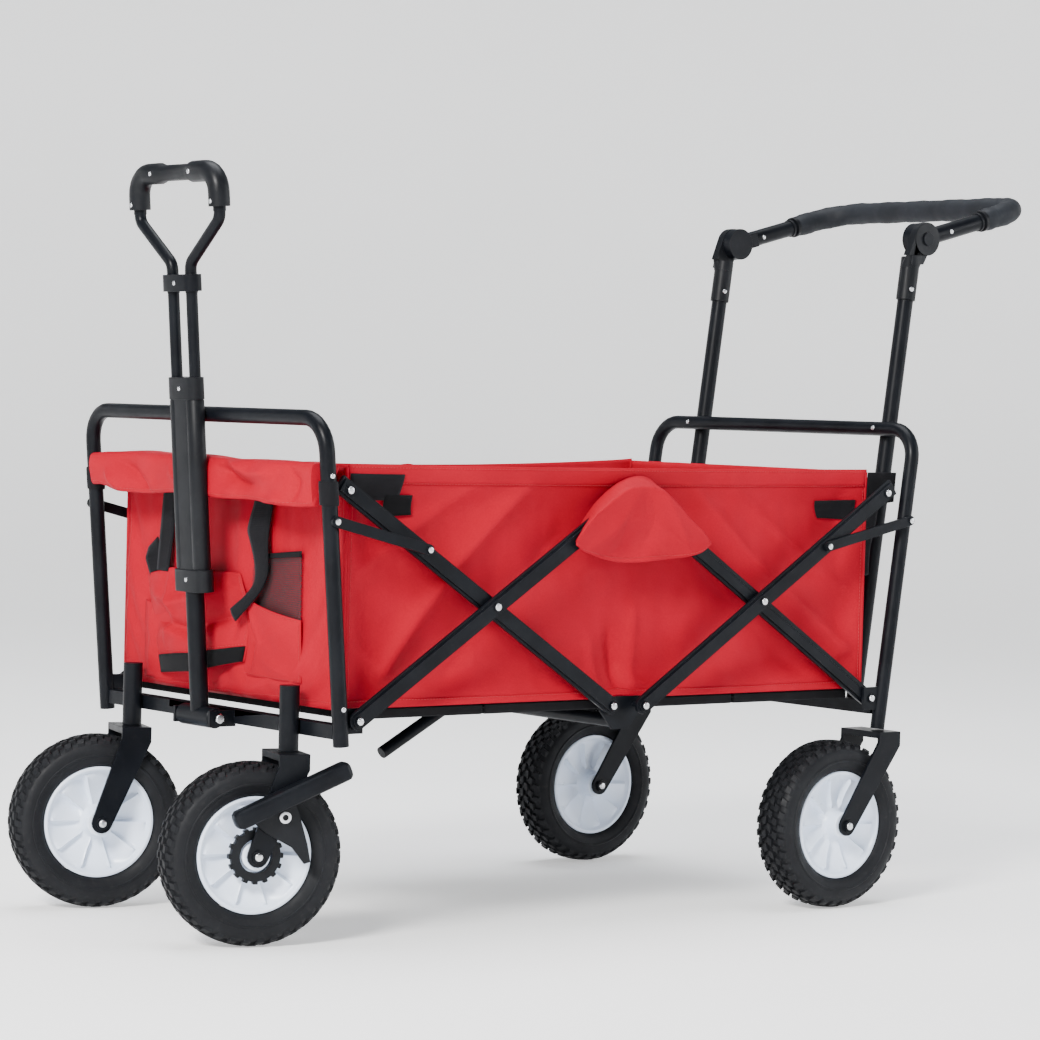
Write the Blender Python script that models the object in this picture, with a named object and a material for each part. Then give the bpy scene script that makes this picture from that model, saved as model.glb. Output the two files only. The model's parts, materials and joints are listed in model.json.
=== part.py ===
"""Folding utility wagon: fabric basket in a scissor frame, caster wheels, pull handle and push handle."""

import math

import bmesh
import bpy
from mathutils import Matrix, Vector

# Lengths in metres.  X runs from the pull handle (-) to the push handle (+), Y across, Z up.
# The side at -Y is called left, as seen by someone pulling the wagon.
SHIFT_X = -0.0775
GAP = 0.0003

# Wheels
WHEEL_R = 0.1015
TYRE_HALF = 0.0265
RIM_R = 0.0655
RIM_HALF = 0.0200
HUB_R = 0.0135
HUB_HALF = 0.0295
AXLE_R = 0.0050
WHEEL_STEPS = 32

# End frames
TUBE_R = 0.0088
HALF_W = 0.2440
ARCH_TOP = 0.5810
ARCH_BEND = 0.0370
FRONT_X = -0.4030
FRONT_LEAN = -0.0858
REAR_X = 0.4010
REAR_LEAN = 0.1365
FOOT_Z = 0.2390
BAR_LOW = 0.2320
BAR_HIGH = 0.2480
BAR_DEPTH = 0.0080
FRONT_BAR_X = -0.3980

# Scissor linkage
LOW_X = 0.3840
LOW_Z = 0.2525
CROSS_X = 0.1990
CROSS_Z = 0.3740
HUB_X = 0.0196
SLOPE = (CROSS_Z - LOW_Z) / (LOW_X - CROSS_X)
TOP_Z = CROSS_Z + SLOPE * (CROSS_X - HUB_X)
VALLEY_Z = CROSS_Z - SLOPE * (CROSS_X - HUB_X)
OPEN_ANGLE = math.atan(SLOPE)
UPPER_REACH = 0.2500
BAR_W = 0.0205
INNER_PLANE = (0.2315, 0.2419)
OUTER_PLANE = (0.2422, 0.2526)
STRUT_PLANE = (0.2531, 0.2571)
LINK_PLANE = (0.2282, 0.2312)
PIN_R = 0.0032
HEAD_R = 0.0055
HEAD_T = 0.0018
STRUT_POST_Z = 0.4700
STRUT_BAR_X = 0.2980

# Casters
CASTER_X = -0.4165
CASTER_Y = 0.1640
CASTER_TRAIL = 0.0420
CASTER_TURN = math.radians(17.0)
SOCKET_R = 0.0112
SOCKET_TOP = 0.2860
CROWN_TOP = 0.2130
CROWN_LOW = 0.2055
KINGPIN_R = 0.0065
BLADE_IN = 0.0305
BLADE_OUT = 0.0345
REAR_STEM_X = 0.3960
REAR_WHEEL_X = 0.3275
REAR_WHEEL_Y = 0.2371

# Basket
SIDE_IN = 0.2232
SIDE_OUT = 0.2272
CLOTH_FRONT = -0.3880
CLOTH_REAR = 0.3810
CLOTH_LOW = 0.2662
CLOTH_TOP = 0.5290
FLOOR_LOW = 0.2508

# Pull handle
PULL_HINGE = Vector((-0.4275, 0.0, 0.2385))
PULL_LEAN = math.radians(4.26)
PULL_TUBE_Y = 0.0190
PULL_TUBE_R = 0.0066
SLEEVE_LOW = 0.1460
SLEEVE_HIGH = 0.3835
YOKE_LOW = 0.4810
YOKE_HIGH = 0.5000
GRIP_HALF_Y = 0.0830
GRIP_TOP = 0.6140

# Push handle
PUSH_Y = 0.1770
PUSH_R = 0.0100
PUSH_OFFSET = 0.0190
SOCKET_Z = 0.7425
PUSH_HINGE = Vector((0.5130, 0.0, 0.8195))
PUSH_RISE = math.radians(15.0)
DISC_R = 0.0205
ARM_Y = 0.1770
PUSH_GRIP_S = 0.1910
PUSH_GRIP_R = 0.0145

SIDES = (("left", -1), ("right", 1))


def make_material(name, colour, roughness, metallic):
    material = bpy.data.materials.new(name)
    material.use_nodes = True
    shader = material.node_tree.nodes["Principled BSDF"]
    shader.inputs["Base Color"].default_value = (*colour, 1.0)
    shader.inputs["Roughness"].default_value = roughness
    shader.inputs["Metallic"].default_value = metallic
    material.diffuse_color = (*colour, 1.0)
    return material


def finish_object(name, bm, material, origin):
    """Turns the bmesh, given in world coordinates, into an object whose origin is at the given point."""
    bmesh.ops.remove_doubles(bm, verts=bm.verts, dist=0.000001)
    bmesh.ops.recalc_face_normals(bm, faces=bm.faces)
    bmesh.ops.translate(bm, verts=bm.verts, vec=-Vector(origin))
    mesh = bpy.data.meshes.new(name)
    bm.to_mesh(mesh)
    bm.free()
    mesh.materials.append(material)
    for polygon in mesh.polygons:
        polygon.use_smooth = True
    mesh.set_sharp_from_angle(angle=math.radians(38.0))
    obj = bpy.data.objects.new(name, mesh)
    obj.location = Vector(origin)
    bpy.context.scene.collection.objects.link(obj)
    return obj


def to_temporary(bm):
    bmesh.ops.recalc_face_normals(bm, faces=bm.faces)
    mesh = bpy.data.meshes.new("tool")
    bm.to_mesh(mesh)
    bm.free()
    obj = bpy.data.objects.new("tool", mesh)
    bpy.context.scene.collection.objects.link(obj)
    return obj


def combine(base, others, operation):
    """Adds each of the others to the base, or cuts it away, and returns the result as a bmesh."""
    body = to_temporary(base)
    for other in others:
        tool = to_temporary(other)
        tool.hide_render = True
        tool.display_type = "WIRE"
        modifier = body.modifiers.new("combine", "BOOLEAN")
        modifier.operation = operation
        modifier.solver = "EXACT"
        modifier.object = tool
        graph = bpy.context.evaluated_depsgraph_get()
        mesh = bpy.data.meshes.new_from_object(body.evaluated_get(graph))
        body.modifiers.clear()
        old = body.data
        body.data = mesh
        bpy.data.meshes.remove(old)
        old = tool.data
        bpy.data.objects.remove(tool)
        bpy.data.meshes.remove(old)
    result = bmesh.new()
    result.from_mesh(body.data)
    old = body.data
    bpy.data.objects.remove(body)
    bpy.data.meshes.remove(old)
    return result


def join(base, others):
    return combine(base, others, "UNION")


def cut(base, others):
    return combine(base, others, "DIFFERENCE")


def box(low, high):
    bm = bmesh.new()
    bmesh.ops.create_cube(bm, size=1.0)
    size = Vector(high) - Vector(low)
    bmesh.ops.scale(bm, verts=bm.verts, vec=size)
    bmesh.ops.translate(bm, verts=bm.verts, vec=(Vector(high) + Vector(low)) / 2)
    return bm


def side_box(side, x_range, y_range, z_range):
    """A box given by its distances from the middle plane, on the side asked for."""
    ys = sorted(side * y for y in y_range)
    return box((x_range[0], ys[0], z_range[0]), (x_range[1], ys[1], z_range[1]))


def sweep(path, radii, steps=16):
    """A round tube, solid, along the path, with one radius for all of it or one for each point."""
    if not isinstance(radii, (list, tuple)):
        radii = [radii] * len(path)
    bm = bmesh.new()
    points = [Vector(point) for point in path]
    tangent = (points[1] - points[0]).normalized()
    guide = Vector((0, 0, 1)) if abs(tangent.z) < 0.9 else Vector((1, 0, 0))
    normal = tangent.cross(guide).normalized()
    rings = []
    for index, point in enumerate(points):
        before = points[max(index - 1, 0)]
        after = points[min(index + 1, len(points) - 1)]
        new_tangent = (after - before).normalized()
        turn = tangent.rotation_difference(new_tangent)
        normal = (turn @ normal).normalized()
        tangent = new_tangent
        side = tangent.cross(normal)
        ring = []
        for step in range(steps):
            angle = 2 * math.pi * (step + 0.5) / steps
            offset = normal * math.cos(angle) + side * math.sin(angle)
            ring.append(bm.verts.new(point + offset * radii[index]))
        rings.append(ring)
    for ring, following in zip(rings, rings[1:]):
        for step in range(steps):
            after = (step + 1) % steps
            bm.faces.new((ring[step], ring[after], following[after], following[step]))
    bm.faces.new(list(reversed(rings[0])))
    bm.faces.new(rings[-1])
    return bm


def rod(start, end, radius, steps=16):
    return sweep([start, end], radius, steps)


def cross_rod(side, x, z, y_range, radius, steps=10):
    return rod((x, side * y_range[0], z), (x, side * y_range[1], z), radius, steps)


def rounded_path(corners, bend, steps=5):
    """The corner points with each inner corner replaced by an arc of the bend radius."""
    points = [Vector(corner) for corner in corners]
    path = [points[0]]
    for before, corner, after in zip(points, points[1:], points[2:]):
        into = (before - corner).normalized()
        out = (after - corner).normalized()
        half = into.angle(out) / 2
        reach = bend / math.tan(half)
        centre = corner + (into + out).normalized() * (bend / math.sin(half))
        start = corner + into * reach - centre
        end = corner + out * reach - centre
        for step in range(steps + 1):
            share = step / steps
            angle = start.angle(end)
            first = math.sin((1 - share) * angle) / math.sin(angle)
            second = math.sin(share * angle) / math.sin(angle)
            path.append(centre + start * first + end * second)
    path.append(points[-1])
    return path


def prism(outline, y_range):
    """The outline, given as (x, z) points, filled between the two values of y."""
    bm = bmesh.new()
    near = [bm.verts.new((x, y_range[0], z)) for x, z in outline]
    far = [bm.verts.new((x, y_range[1], z)) for x, z in outline]
    count = len(outline)
    bm.faces.new(near)
    bm.faces.new(list(reversed(far)))
    for index in range(count):
        after = (index + 1) % count
        bm.faces.new((near[index], far[index], far[after], near[after]))
    return bm


def side_prism(side, outline, y_range):
    return prism(outline, sorted(side * y for y in y_range))


def slot_outline(start, end, width, steps=6, end_cap=None):
    """A bar's outline in (x, z): round at both ends, or square at the end where end_cap is zero."""
    a = Vector(start)
    b = Vector(end)
    along = (b - a).normalized()
    across = Vector((-along.y, along.x))
    outline = []
    for centre, sign, flat in ((b, 1, end_cap == 0), (a, -1, False)):
        for step in range(steps + 1):
            angle = math.pi * step / steps
            reach = 0.0 if flat else math.sin(angle)
            outline.append(centre + (across * -math.cos(angle) + along * reach) * (sign * width / 2))
    if end_cap == 0:
        outline = [outline[0], outline[steps]] + outline[steps + 1 :]
    return [(point.x, point.y) for point in outline]


def flat_bar(side, start, end, width, y_range, bevel, square_end=False):
    bm = side_prism(side, slot_outline(start, end, width, end_cap=0 if square_end else None), y_range)
    rims = [edge for edge in bm.edges if abs(edge.verts[0].co.y - edge.verts[1].co.y) < 0.00001]
    bmesh.ops.bevel(bm, geom=rims, offset=bevel, segments=2, affect="EDGES")
    return bm


def revolve(profile, centre, steps=WHEEL_STEPS):
    """A ring about an axis along Y, from a closed profile of (radius, y) points."""
    bm = bmesh.new()
    rings = []
    for step in range(steps):
        angle = 2 * math.pi * step / steps
        ring = []
        for radius, y in profile:
            point = Vector((radius * math.cos(angle), y, radius * math.sin(angle)))
            ring.append(bm.verts.new(point + Vector(centre)))
        rings.append(ring)
    count = len(profile)
    for index, ring in enumerate(rings):
        following = rings[(index + 1) % steps]
        for place in range(count):
            after = (place + 1) % count
            bm.faces.new((ring[place], ring[after], following[after], following[place]))
    return bm


def turned(bm, angle, pivot):
    """The bmesh turned about the vertical line through the pivot."""
    matrix = Matrix.Translation(pivot) @ Matrix.Rotation(angle, 4, "Z") @ Matrix.Translation(-Vector(pivot))
    bmesh.ops.transform(bm, verts=bm.verts, matrix=matrix)
    return bm


def front_post_x(z):
    return FRONT_X + FRONT_LEAN * (z - FOOT_Z)


def rear_post_x(z):
    return REAR_X + REAR_LEAN * (z - FOOT_Z)


def arch_tube(post_x, low):
    corners = [
        (post_x(low), -HALF_W, low),
        (post_x(ARCH_TOP), -HALF_W, ARCH_TOP),
        (post_x(ARCH_TOP), HALF_W, ARCH_TOP),
        (post_x(low), HALF_W, low),
    ]
    return sweep(rounded_path(corners, ARCH_BEND, 8), TUBE_R)


def build_front_frame(steel):
    plates = []
    for _, side in SIDES:
        plate = (INNER_PLANE[1] - 0.004, INNER_PLANE[1])
        plates.append(side_box(side, (-0.4060, -0.3720), plate, (0.2380, 0.2660)))
        plates.append(cross_rod(side, -LOW_X, LOW_Z, (plate[0] + 0.001, OUTER_PLANE[1] + 0.001), PIN_R))
        heads = (OUTER_PLANE[1] + GAP, OUTER_PLANE[1] + GAP + HEAD_T)
        plates.append(cross_rod(side, -LOW_X, LOW_Z, heads, HEAD_R))
    arch = join(arch_tube(front_post_x, 0.2250), plates)
    finish_object("front_arch", arch, steel, (FRONT_X, 0.0, ARCH_TOP))

    length = HALF_W - TUBE_R - GAP
    bar = box((FRONT_BAR_X - BAR_DEPTH, -length, BAR_LOW), (FRONT_BAR_X + BAR_DEPTH, length, BAR_HIGH))
    pieces = []
    for _, side in SIDES:
        foot = (CASTER_X, side * CASTER_Y, CROWN_TOP + GAP)
        head = (CASTER_X, side * CASTER_Y, SOCKET_TOP)
        pieces.append(rod(foot, head, SOCKET_R, 20))
        pieces.append(side_box(side, (-0.4390, -0.4040), (0.0345, 0.0385), (0.2290, 0.2475)))
    pin_ends = [(PULL_HINGE.x, y, PULL_HINGE.z) for y in (-0.0400, 0.0400)]
    pieces.append(rod(*pin_ends, 0.0042, 12))
    bar = join(bar, pieces)
    bores = []
    for _, side in SIDES:
        foot = (CASTER_X, side * CASTER_Y, CROWN_TOP - 0.005)
        head = (CASTER_X, side * CASTER_Y, SOCKET_TOP - 0.006)
        bores.append(rod(foot, head, KINGPIN_R + GAP, 20))
    finish_object("front_crossbar", cut(bar, bores), steel, (FRONT_BAR_X, 0.0, FOOT_Z))


def build_rear_frame(steel):
    plates = []
    for _, side in SIDES:
        plate = (OUTER_PLANE[0], OUTER_PLANE[0] + 0.004)
        plates.append(side_box(side, (0.3720, 0.4080), plate, (0.2380, 0.2660)))
        plates.append(cross_rod(side, LOW_X, LOW_Z, (INNER_PLANE[0] + 0.001, plate[1] + HEAD_T), PIN_R))
        plates.append(cross_rod(side, LOW_X, LOW_Z, (plate[1] - 0.001, plate[1] + HEAD_T), HEAD_R))
    arch = join(arch_tube(rear_post_x, CROWN_TOP + 0.0016), plates)
    finish_object("rear_arch", arch, steel, (REAR_X, 0.0, ARCH_TOP))
    length = HALF_W - TUBE_R - GAP
    bar = box((REAR_X - BAR_DEPTH, -length, BAR_LOW), (REAR_X + BAR_DEPTH, length, BAR_HIGH))
    finish_object("rear_crossbar", bar, steel, (REAR_X, 0.0, FOOT_Z))


def build_scissors(steel):
    """Two crossed pairs of bars on each side; each pair has one bar in the inner plane, one in the outer."""
    depth = (INNER_PLANE[0] + 0.001, OUTER_PLANE[1] + 0.0001)
    head = (OUTER_PLANE[1] - 0.001, OUTER_PLANE[1] + HEAD_T)
    for end_name, end in (("front", -1), ("rear", 1)):
        low = (end * LOW_X, LOW_Z)
        cross = (end * CROSS_X, CROSS_Z)
        top = (end * HUB_X, TOP_Z)
        valley = (end * HUB_X, VALLEY_Z)
        run = UPPER_REACH * math.cos(OPEN_ANGLE)
        reach = (cross[0] + end * run, cross[1] + UPPER_REACH * math.sin(OPEN_ANGLE))
        rivet = (end * 0.3960, CROSS_Z + SLOPE * (0.3960 - CROSS_X))
        for side_name, side in SIDES:
            base_plane, tie_plane = (OUTER_PLANE, INNER_PLANE) if end < 0 else (INNER_PLANE, OUTER_PLANE)
            base = flat_bar(side, low, top, BAR_W, base_plane, 0.003)
            tie = flat_bar(side, valley, reach, BAR_W, tie_plane, 0.003, square_end=True)
            rivet_head = (tie_plane[1] - 0.001, tie_plane[1] + HEAD_T)
            bores = [cross_rod(side, low[0], low[1], (0.22, 0.27), PIN_R + GAP)]
            bores.append(cross_rod(side, top[0], top[1], (0.22, 0.27), PIN_R + GAP))
            tie_bores = [cross_rod(side, valley[0], valley[1], (0.22, 0.27), PIN_R + GAP)]
            pins = [cross_rod(side, cross[0], cross[1], depth, PIN_R)]
            pins.append(cross_rod(side, cross[0], cross[1], head, HEAD_R))
            bore = cross_rod(side, cross[0], cross[1], (0.22, 0.27), PIN_R + GAP)
            rivets = [cross_rod(side, rivet[0], rivet[1], rivet_head, HEAD_R)]
            if end < 0:
                base = cut(join(base, pins), bores)
                tie = cut(join(tie, rivets), tie_bores + [bore])
            else:
                base = cut(base, bores + [bore])
                tie = cut(join(tie, pins + rivets), tie_bores)
            middle = side * sum(base_plane) / 2
            finish_object(f"{end_name}_base_bar_{side_name}", base, steel, (low[0], middle, low[1]))
            middle = side * sum(tie_plane) / 2
            finish_object(f"{end_name}_tie_bar_{side_name}", tie, steel, (cross[0], middle, cross[1]))


def link_pins(side, z, outer_end):
    """The two pins of a link: one ends in the inner plane, one in the outer plane at the end asked for."""
    pins = []
    for end in (-1, 1):
        plane = OUTER_PLANE if end == outer_end else INNER_PLANE
        pins.append(cross_rod(side, end * HUB_X, z, (LINK_PLANE[0] + 0.001, plane[1] + GAP + 0.001), PIN_R))
        heads = (plane[1] + GAP, plane[1] + GAP + HEAD_T)
        pins.append(cross_rod(side, end * HUB_X, z, heads, HEAD_R))
    return pins


def build_links(steel):
    for side_name, side in SIDES:
        plate = side_prism(side, slot_outline((-HUB_X, TOP_Z), (HUB_X, TOP_Z), 0.022), LINK_PLANE)
        plate = join(plate, link_pins(side, TOP_Z, -1))
        finish_object(f"top_link_{side_name}", plate, steel, (0.0, side * LINK_PLANE[1], TOP_Z))
    tube = rod((0, -LINK_PLANE[0] - 0.001, 0.2370), (0, LINK_PLANE[0] + 0.001, 0.2370), 0.0080)
    pieces = []
    for _, side in SIDES:
        outline = [(-0.0300, 0.2660), (-0.0300, 0.2500), (-0.0120, 0.2280)]
        outline += [(-x, z) for x, z in reversed(outline)]
        pieces.append(side_prism(side, outline, LINK_PLANE))
        pieces += link_pins(side, VALLEY_Z, 1)
    finish_object("bottom_link", join(tube, pieces), steel, (0.0, 0.0, 0.2370))
    bent = [(-0.0083, 0, 0.2370), (-0.0780, 0, 0.2370), (-0.1730, 0, 0.1850)]
    foot = sweep(rounded_path(bent, 0.03), 0.0075)
    finish_object("centre_foot", foot, steel, (0.0, 0.0, 0.2370))


def build_struts(steel):
    for end_name, end, post_x in (("front", -1, front_post_x), ("rear", 1, rear_post_x)):
        post = (post_x(STRUT_POST_Z), STRUT_POST_Z)
        meet = (end * STRUT_BAR_X, CROSS_Z + SLOPE * (STRUT_BAR_X - CROSS_X))
        for side_name, side in SIDES:
            strut = side_prism(side, slot_outline(post, meet, 0.0120), STRUT_PLANE)
            heads = (STRUT_PLANE[1] - 0.001, STRUT_PLANE[1] + HEAD_T)
            pieces = [cross_rod(side, x, z, heads, 0.0045) for x, z in (post, meet)]
            if end < 0:
                spacer = (OUTER_PLANE[0], STRUT_PLANE[0] + 0.001)
                pieces.append(cross_rod(side, meet[0], meet[1], spacer, 0.0050))
            name = f"{end_name}_strut_{side_name}"
            finish_object(name, join(strut, pieces), steel, (post[0], side * STRUT_PLANE[0], post[1]))


def fork(stem_x, stem_y, axle_x, pin_top):
    """A fork in one piece with its axle: crown plate, two blades down to the axle, and the pin above."""
    low = WHEEL_R
    width = BLADE_OUT
    crown = box((stem_x - 0.0200, stem_y - width, CROWN_LOW), (stem_x + 0.0150, stem_y + width, CROWN_TOP))
    pieces = []
    for side in (-1, 1):
        ys = sorted((stem_y + side * BLADE_IN, stem_y + side * BLADE_OUT))
        outline = [(stem_x + 0.0150, CROWN_TOP - 0.0005), (stem_x + 0.0150, CROWN_LOW - 0.0100)]
        lean = math.atan2(stem_x - axle_x, CROWN_LOW - low)
        for step in range(9):
            angle = -lean - math.pi * step / 8
            outline.append((axle_x + 0.0120 * math.cos(angle), low + 0.0120 * math.sin(angle)))
        outline.append((stem_x - 0.0200, CROWN_LOW - 0.0050))
        outline.append((stem_x - 0.0200, CROWN_TOP - 0.0005))
        pieces.append(prism(outline, ys))
        outer = stem_y + side * BLADE_OUT
        nut_ends = [(axle_x, outer - side * 0.001, low), (axle_x, outer + side * 0.0035, low)]
        pieces.append(rod(*nut_ends, 0.0070, 12))
    reach = BLADE_IN + 0.001
    pieces.append(rod((axle_x, stem_y - reach, low), (axle_x, stem_y + reach, low), AXLE_R))
    if pin_top > CROWN_TOP:
        pieces.append(rod((stem_x, stem_y, CROWN_LOW + 0.001), (stem_x, stem_y, pin_top), KINGPIN_R, 20))
    return join(crown, pieces)


def rim(centre):
    profile = [
        (AXLE_R + GAP, -HUB_HALF),
        (HUB_R, -HUB_HALF),
        (HUB_R + 0.001, -0.0130),
        (0.0560, -0.0080),
        (0.0600, -RIM_HALF),
        (RIM_R, -RIM_HALF),
    ]
    profile += [(radius, -y) for radius, y in reversed(profile)]
    return revolve(profile, centre)


def tyre(centre):
    profile = [
        (RIM_R + GAP, -0.0190),
        (0.0700, -0.0240),
        (0.0820, -TYRE_HALF),
        (0.0925, -0.0252),
        (0.0985, -0.0205),
        (WHEEL_R, -0.0100),
    ]
    profile += [(radius, -y) for radius, y in reversed(profile)]
    return revolve(profile, centre)


def build_wheel(name, centre, turn, pivot, rubber, plastic):
    place = centre_after(centre, turn, pivot)
    finish_object(f"{name}_tyre", turned(tyre(centre), turn, pivot), rubber, place)
    finish_object(f"{name}_rim", turned(rim(centre), turn, pivot), plastic, place)


def centre_after(centre, turn, pivot):
    return Vector(pivot) + Matrix.Rotation(turn, 3, "Z") @ (Vector(centre) - Vector(pivot))


def build_casters(steel, rubber, plastic, black):
    for side_name, side in SIDES:
        stem = Vector((CASTER_X, side * CASTER_Y, 0.0))
        centre = (CASTER_X - CASTER_TRAIL, side * CASTER_Y, WHEEL_R)
        body = fork(CASTER_X, side * CASTER_Y, centre[0], SOCKET_TOP - 0.0065)
        turn = -CASTER_TURN
        finish_object(f"front_fork_{side_name}", turned(body, turn, stem), steel, (stem.x, stem.y, CROWN_TOP))
        build_wheel(f"front_wheel_{side_name}", centre, turn, stem, rubber, plastic)
        rear_y = side * REAR_WHEEL_Y
        body = fork(REAR_STEM_X, rear_y, REAR_WHEEL_X, CROWN_TOP)
        finish_object(f"rear_fork_{side_name}", body, steel, (REAR_STEM_X, rear_y, CROWN_TOP))
        rear_centre = (REAR_WHEEL_X, rear_y, WHEEL_R)
        build_wheel(f"rear_wheel_{side_name}", rear_centre, 0.0, Vector((0, 0, 0)), rubber, plastic)
    stem = Vector((CASTER_X, -CASTER_Y, 0.0))
    wheel = Vector((CASTER_X - CASTER_TRAIL, -CASTER_Y, WHEEL_R))
    ring = revolve([(0.0190, -0.0270), (0.0300, -0.0270), (0.0300, -0.0190), (0.0190, -0.0190)], wheel)
    ring_origin = centre_after(wheel, -CASTER_TURN, stem)
    finish_object("brake_ring", turned(ring, -CASTER_TURN, stem), black, ring_origin)
    build_brake(stem, black)


def build_brake(stem, black):
    """The foot brake on the outer side of the left caster: pedal channel, side plate and wedge."""
    outer = stem.y - BLADE_OUT - 0.0045
    plate_y = (outer - 0.0040, outer)
    x = CASTER_X
    plate = [(x - 0.0600, 0.1480), (x - 0.0350, 0.1280), (x - 0.0060, 0.1120), (x + 0.0080, 0.0940)]
    plate += [(x + 0.0150, 0.0960), (x + 0.0110, 0.1160), (x + 0.0010, 0.1500), (x - 0.0080, 0.1700)]
    body = prism(plate, plate_y)
    pedal = [(x - 0.0700, 0.1440), (x - 0.0720, 0.1520), (x + 0.0440, 0.2030), (x + 0.0510, 0.2000)]
    pedal += [(x + 0.0500, 0.1880), (x - 0.0200, 0.1560), (x - 0.0600, 0.1400)]
    lever = prism(pedal, (outer - 0.0200, outer))
    hollow = [(x - 0.0600, 0.1380), (x - 0.0650, 0.1490), (x + 0.0450, 0.1965), (x + 0.0530, 0.1830)]
    lever = cut(lever, [prism(hollow, (outer - 0.0170, outer - 0.0030))])
    ring = rod((x - 0.0150, outer - 0.0050, 0.1455), (x - 0.0150, outer - 0.0010, 0.1455), 0.0070, 16)
    body = join(body, [lever, ring])
    finish_object("brake_pedal", turned(body, -CASTER_TURN, stem), black, brake_hinge(stem))


def brake_hinge(stem):
    return centre_after((CASTER_X - 0.0150, stem.y - BLADE_OUT - 0.0045, 0.1455), -CASTER_TURN, stem)


def build_basket(cloth, board):
    for side_name, side in SIDES:
        heights = (CLOTH_LOW - 0.0035, CLOTH_TOP)
        wall = side_box(side, (CLOTH_FRONT, CLOTH_REAR), (SIDE_IN, SIDE_OUT), heights)
        finish_object(f"basket_side_{side_name}", wall, cloth, (CLOTH_REAR, side * SIDE_OUT, CLOTH_LOW))
        outline = [(-0.0970, 0.4430), (-0.0550, 0.4280), (0.0, 0.4230), (0.0600, 0.4265), (0.1080, 0.4360)]
        outline += [(0.0700, 0.4760), (0.0400, 0.5040), (0.0250, 0.5160), (-0.0200, 0.5160)]
        outline += [(-0.0350, 0.5040), (-0.0650, 0.4720)]
        hang = side_prism(side, outline, (0.2574, 0.2590))
        shelf = side_box(side, (-0.0190, 0.0240), (SIDE_OUT + GAP, 0.2585), (0.5140, 0.5158))
        finish_object(f"basket_flap_{side_name}", join(hang, [shelf]), cloth, (0.0, side * SIDE_OUT, 0.5150))
    inner = SIDE_IN - GAP
    floor = box((CLOTH_FRONT, -inner, CLOTH_LOW - GAP - 0.003), (CLOTH_REAR, inner, CLOTH_LOW - GAP))
    finish_object("basket_floor", floor, cloth, (CLOTH_REAR, 0.0, CLOTH_LOW))
    under = CLOTH_LOW - 2 * GAP - 0.003
    plate = box((CLOTH_FRONT + 0.012, -0.2200, FLOOR_LOW), (CLOTH_REAR - 0.012, 0.2200, under))
    finish_object("floor_board", plate, board, (CLOTH_REAR, 0.0, FLOOR_LOW))
    front = box((-0.3923, -inner, 0.2600), (CLOTH_FRONT - GAP, inner, 0.5280))
    finish_object("basket_front_panel", front, cloth, (CLOTH_FRONT, 0.0, 0.2600))
    cuff = box((-0.4360, -0.2310, 0.4940), (-0.3926, 0.2310, 0.5340))
    finish_object("basket_front_cuff", cuff, cloth, (CLOTH_FRONT, 0.0, 0.5340))
    rear = box((CLOTH_REAR + GAP, -inner, 0.2600), (CLOTH_REAR + 0.0043, inner, CLOTH_TOP))
    finish_object("basket_rear_panel", rear, cloth, (CLOTH_REAR, 0.0, 0.2600))


def tilt_pull(bm):
    """Moves a piece drawn along a vertical line from the pull hinge to the handle's lean."""
    matrix = Matrix.Translation(PULL_HINGE) @ Matrix.Rotation(-PULL_LEAN, 4, "Y")
    bmesh.ops.transform(bm, verts=bm.verts, matrix=matrix)
    return bm


def pull_point(height):
    return PULL_HINGE + Vector((-math.sin(PULL_LEAN), 0.0, math.cos(PULL_LEAN))) * height


def oval_block(half_y, half_x, low, high, steps=7):
    bm = bmesh.new()
    rings = []
    for z in (low, high):
        ring = []
        for side in (1, -1):
            for step in range(steps + 1):
                angle = math.pi * step / steps
                x = side * half_x * math.cos(angle)
                y = side * (half_y - half_x + half_x * math.sin(angle))
                ring.append(bm.verts.new((x, y, z)))
        rings.append(ring)
    count = len(rings[0])
    for index in range(count):
        after = (index + 1) % count
        bm.faces.new((rings[0][index], rings[0][after], rings[1][after], rings[1][index]))
    bm.faces.new(list(reversed(rings[0])))
    bm.faces.new(rings[1])
    return bm


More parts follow.
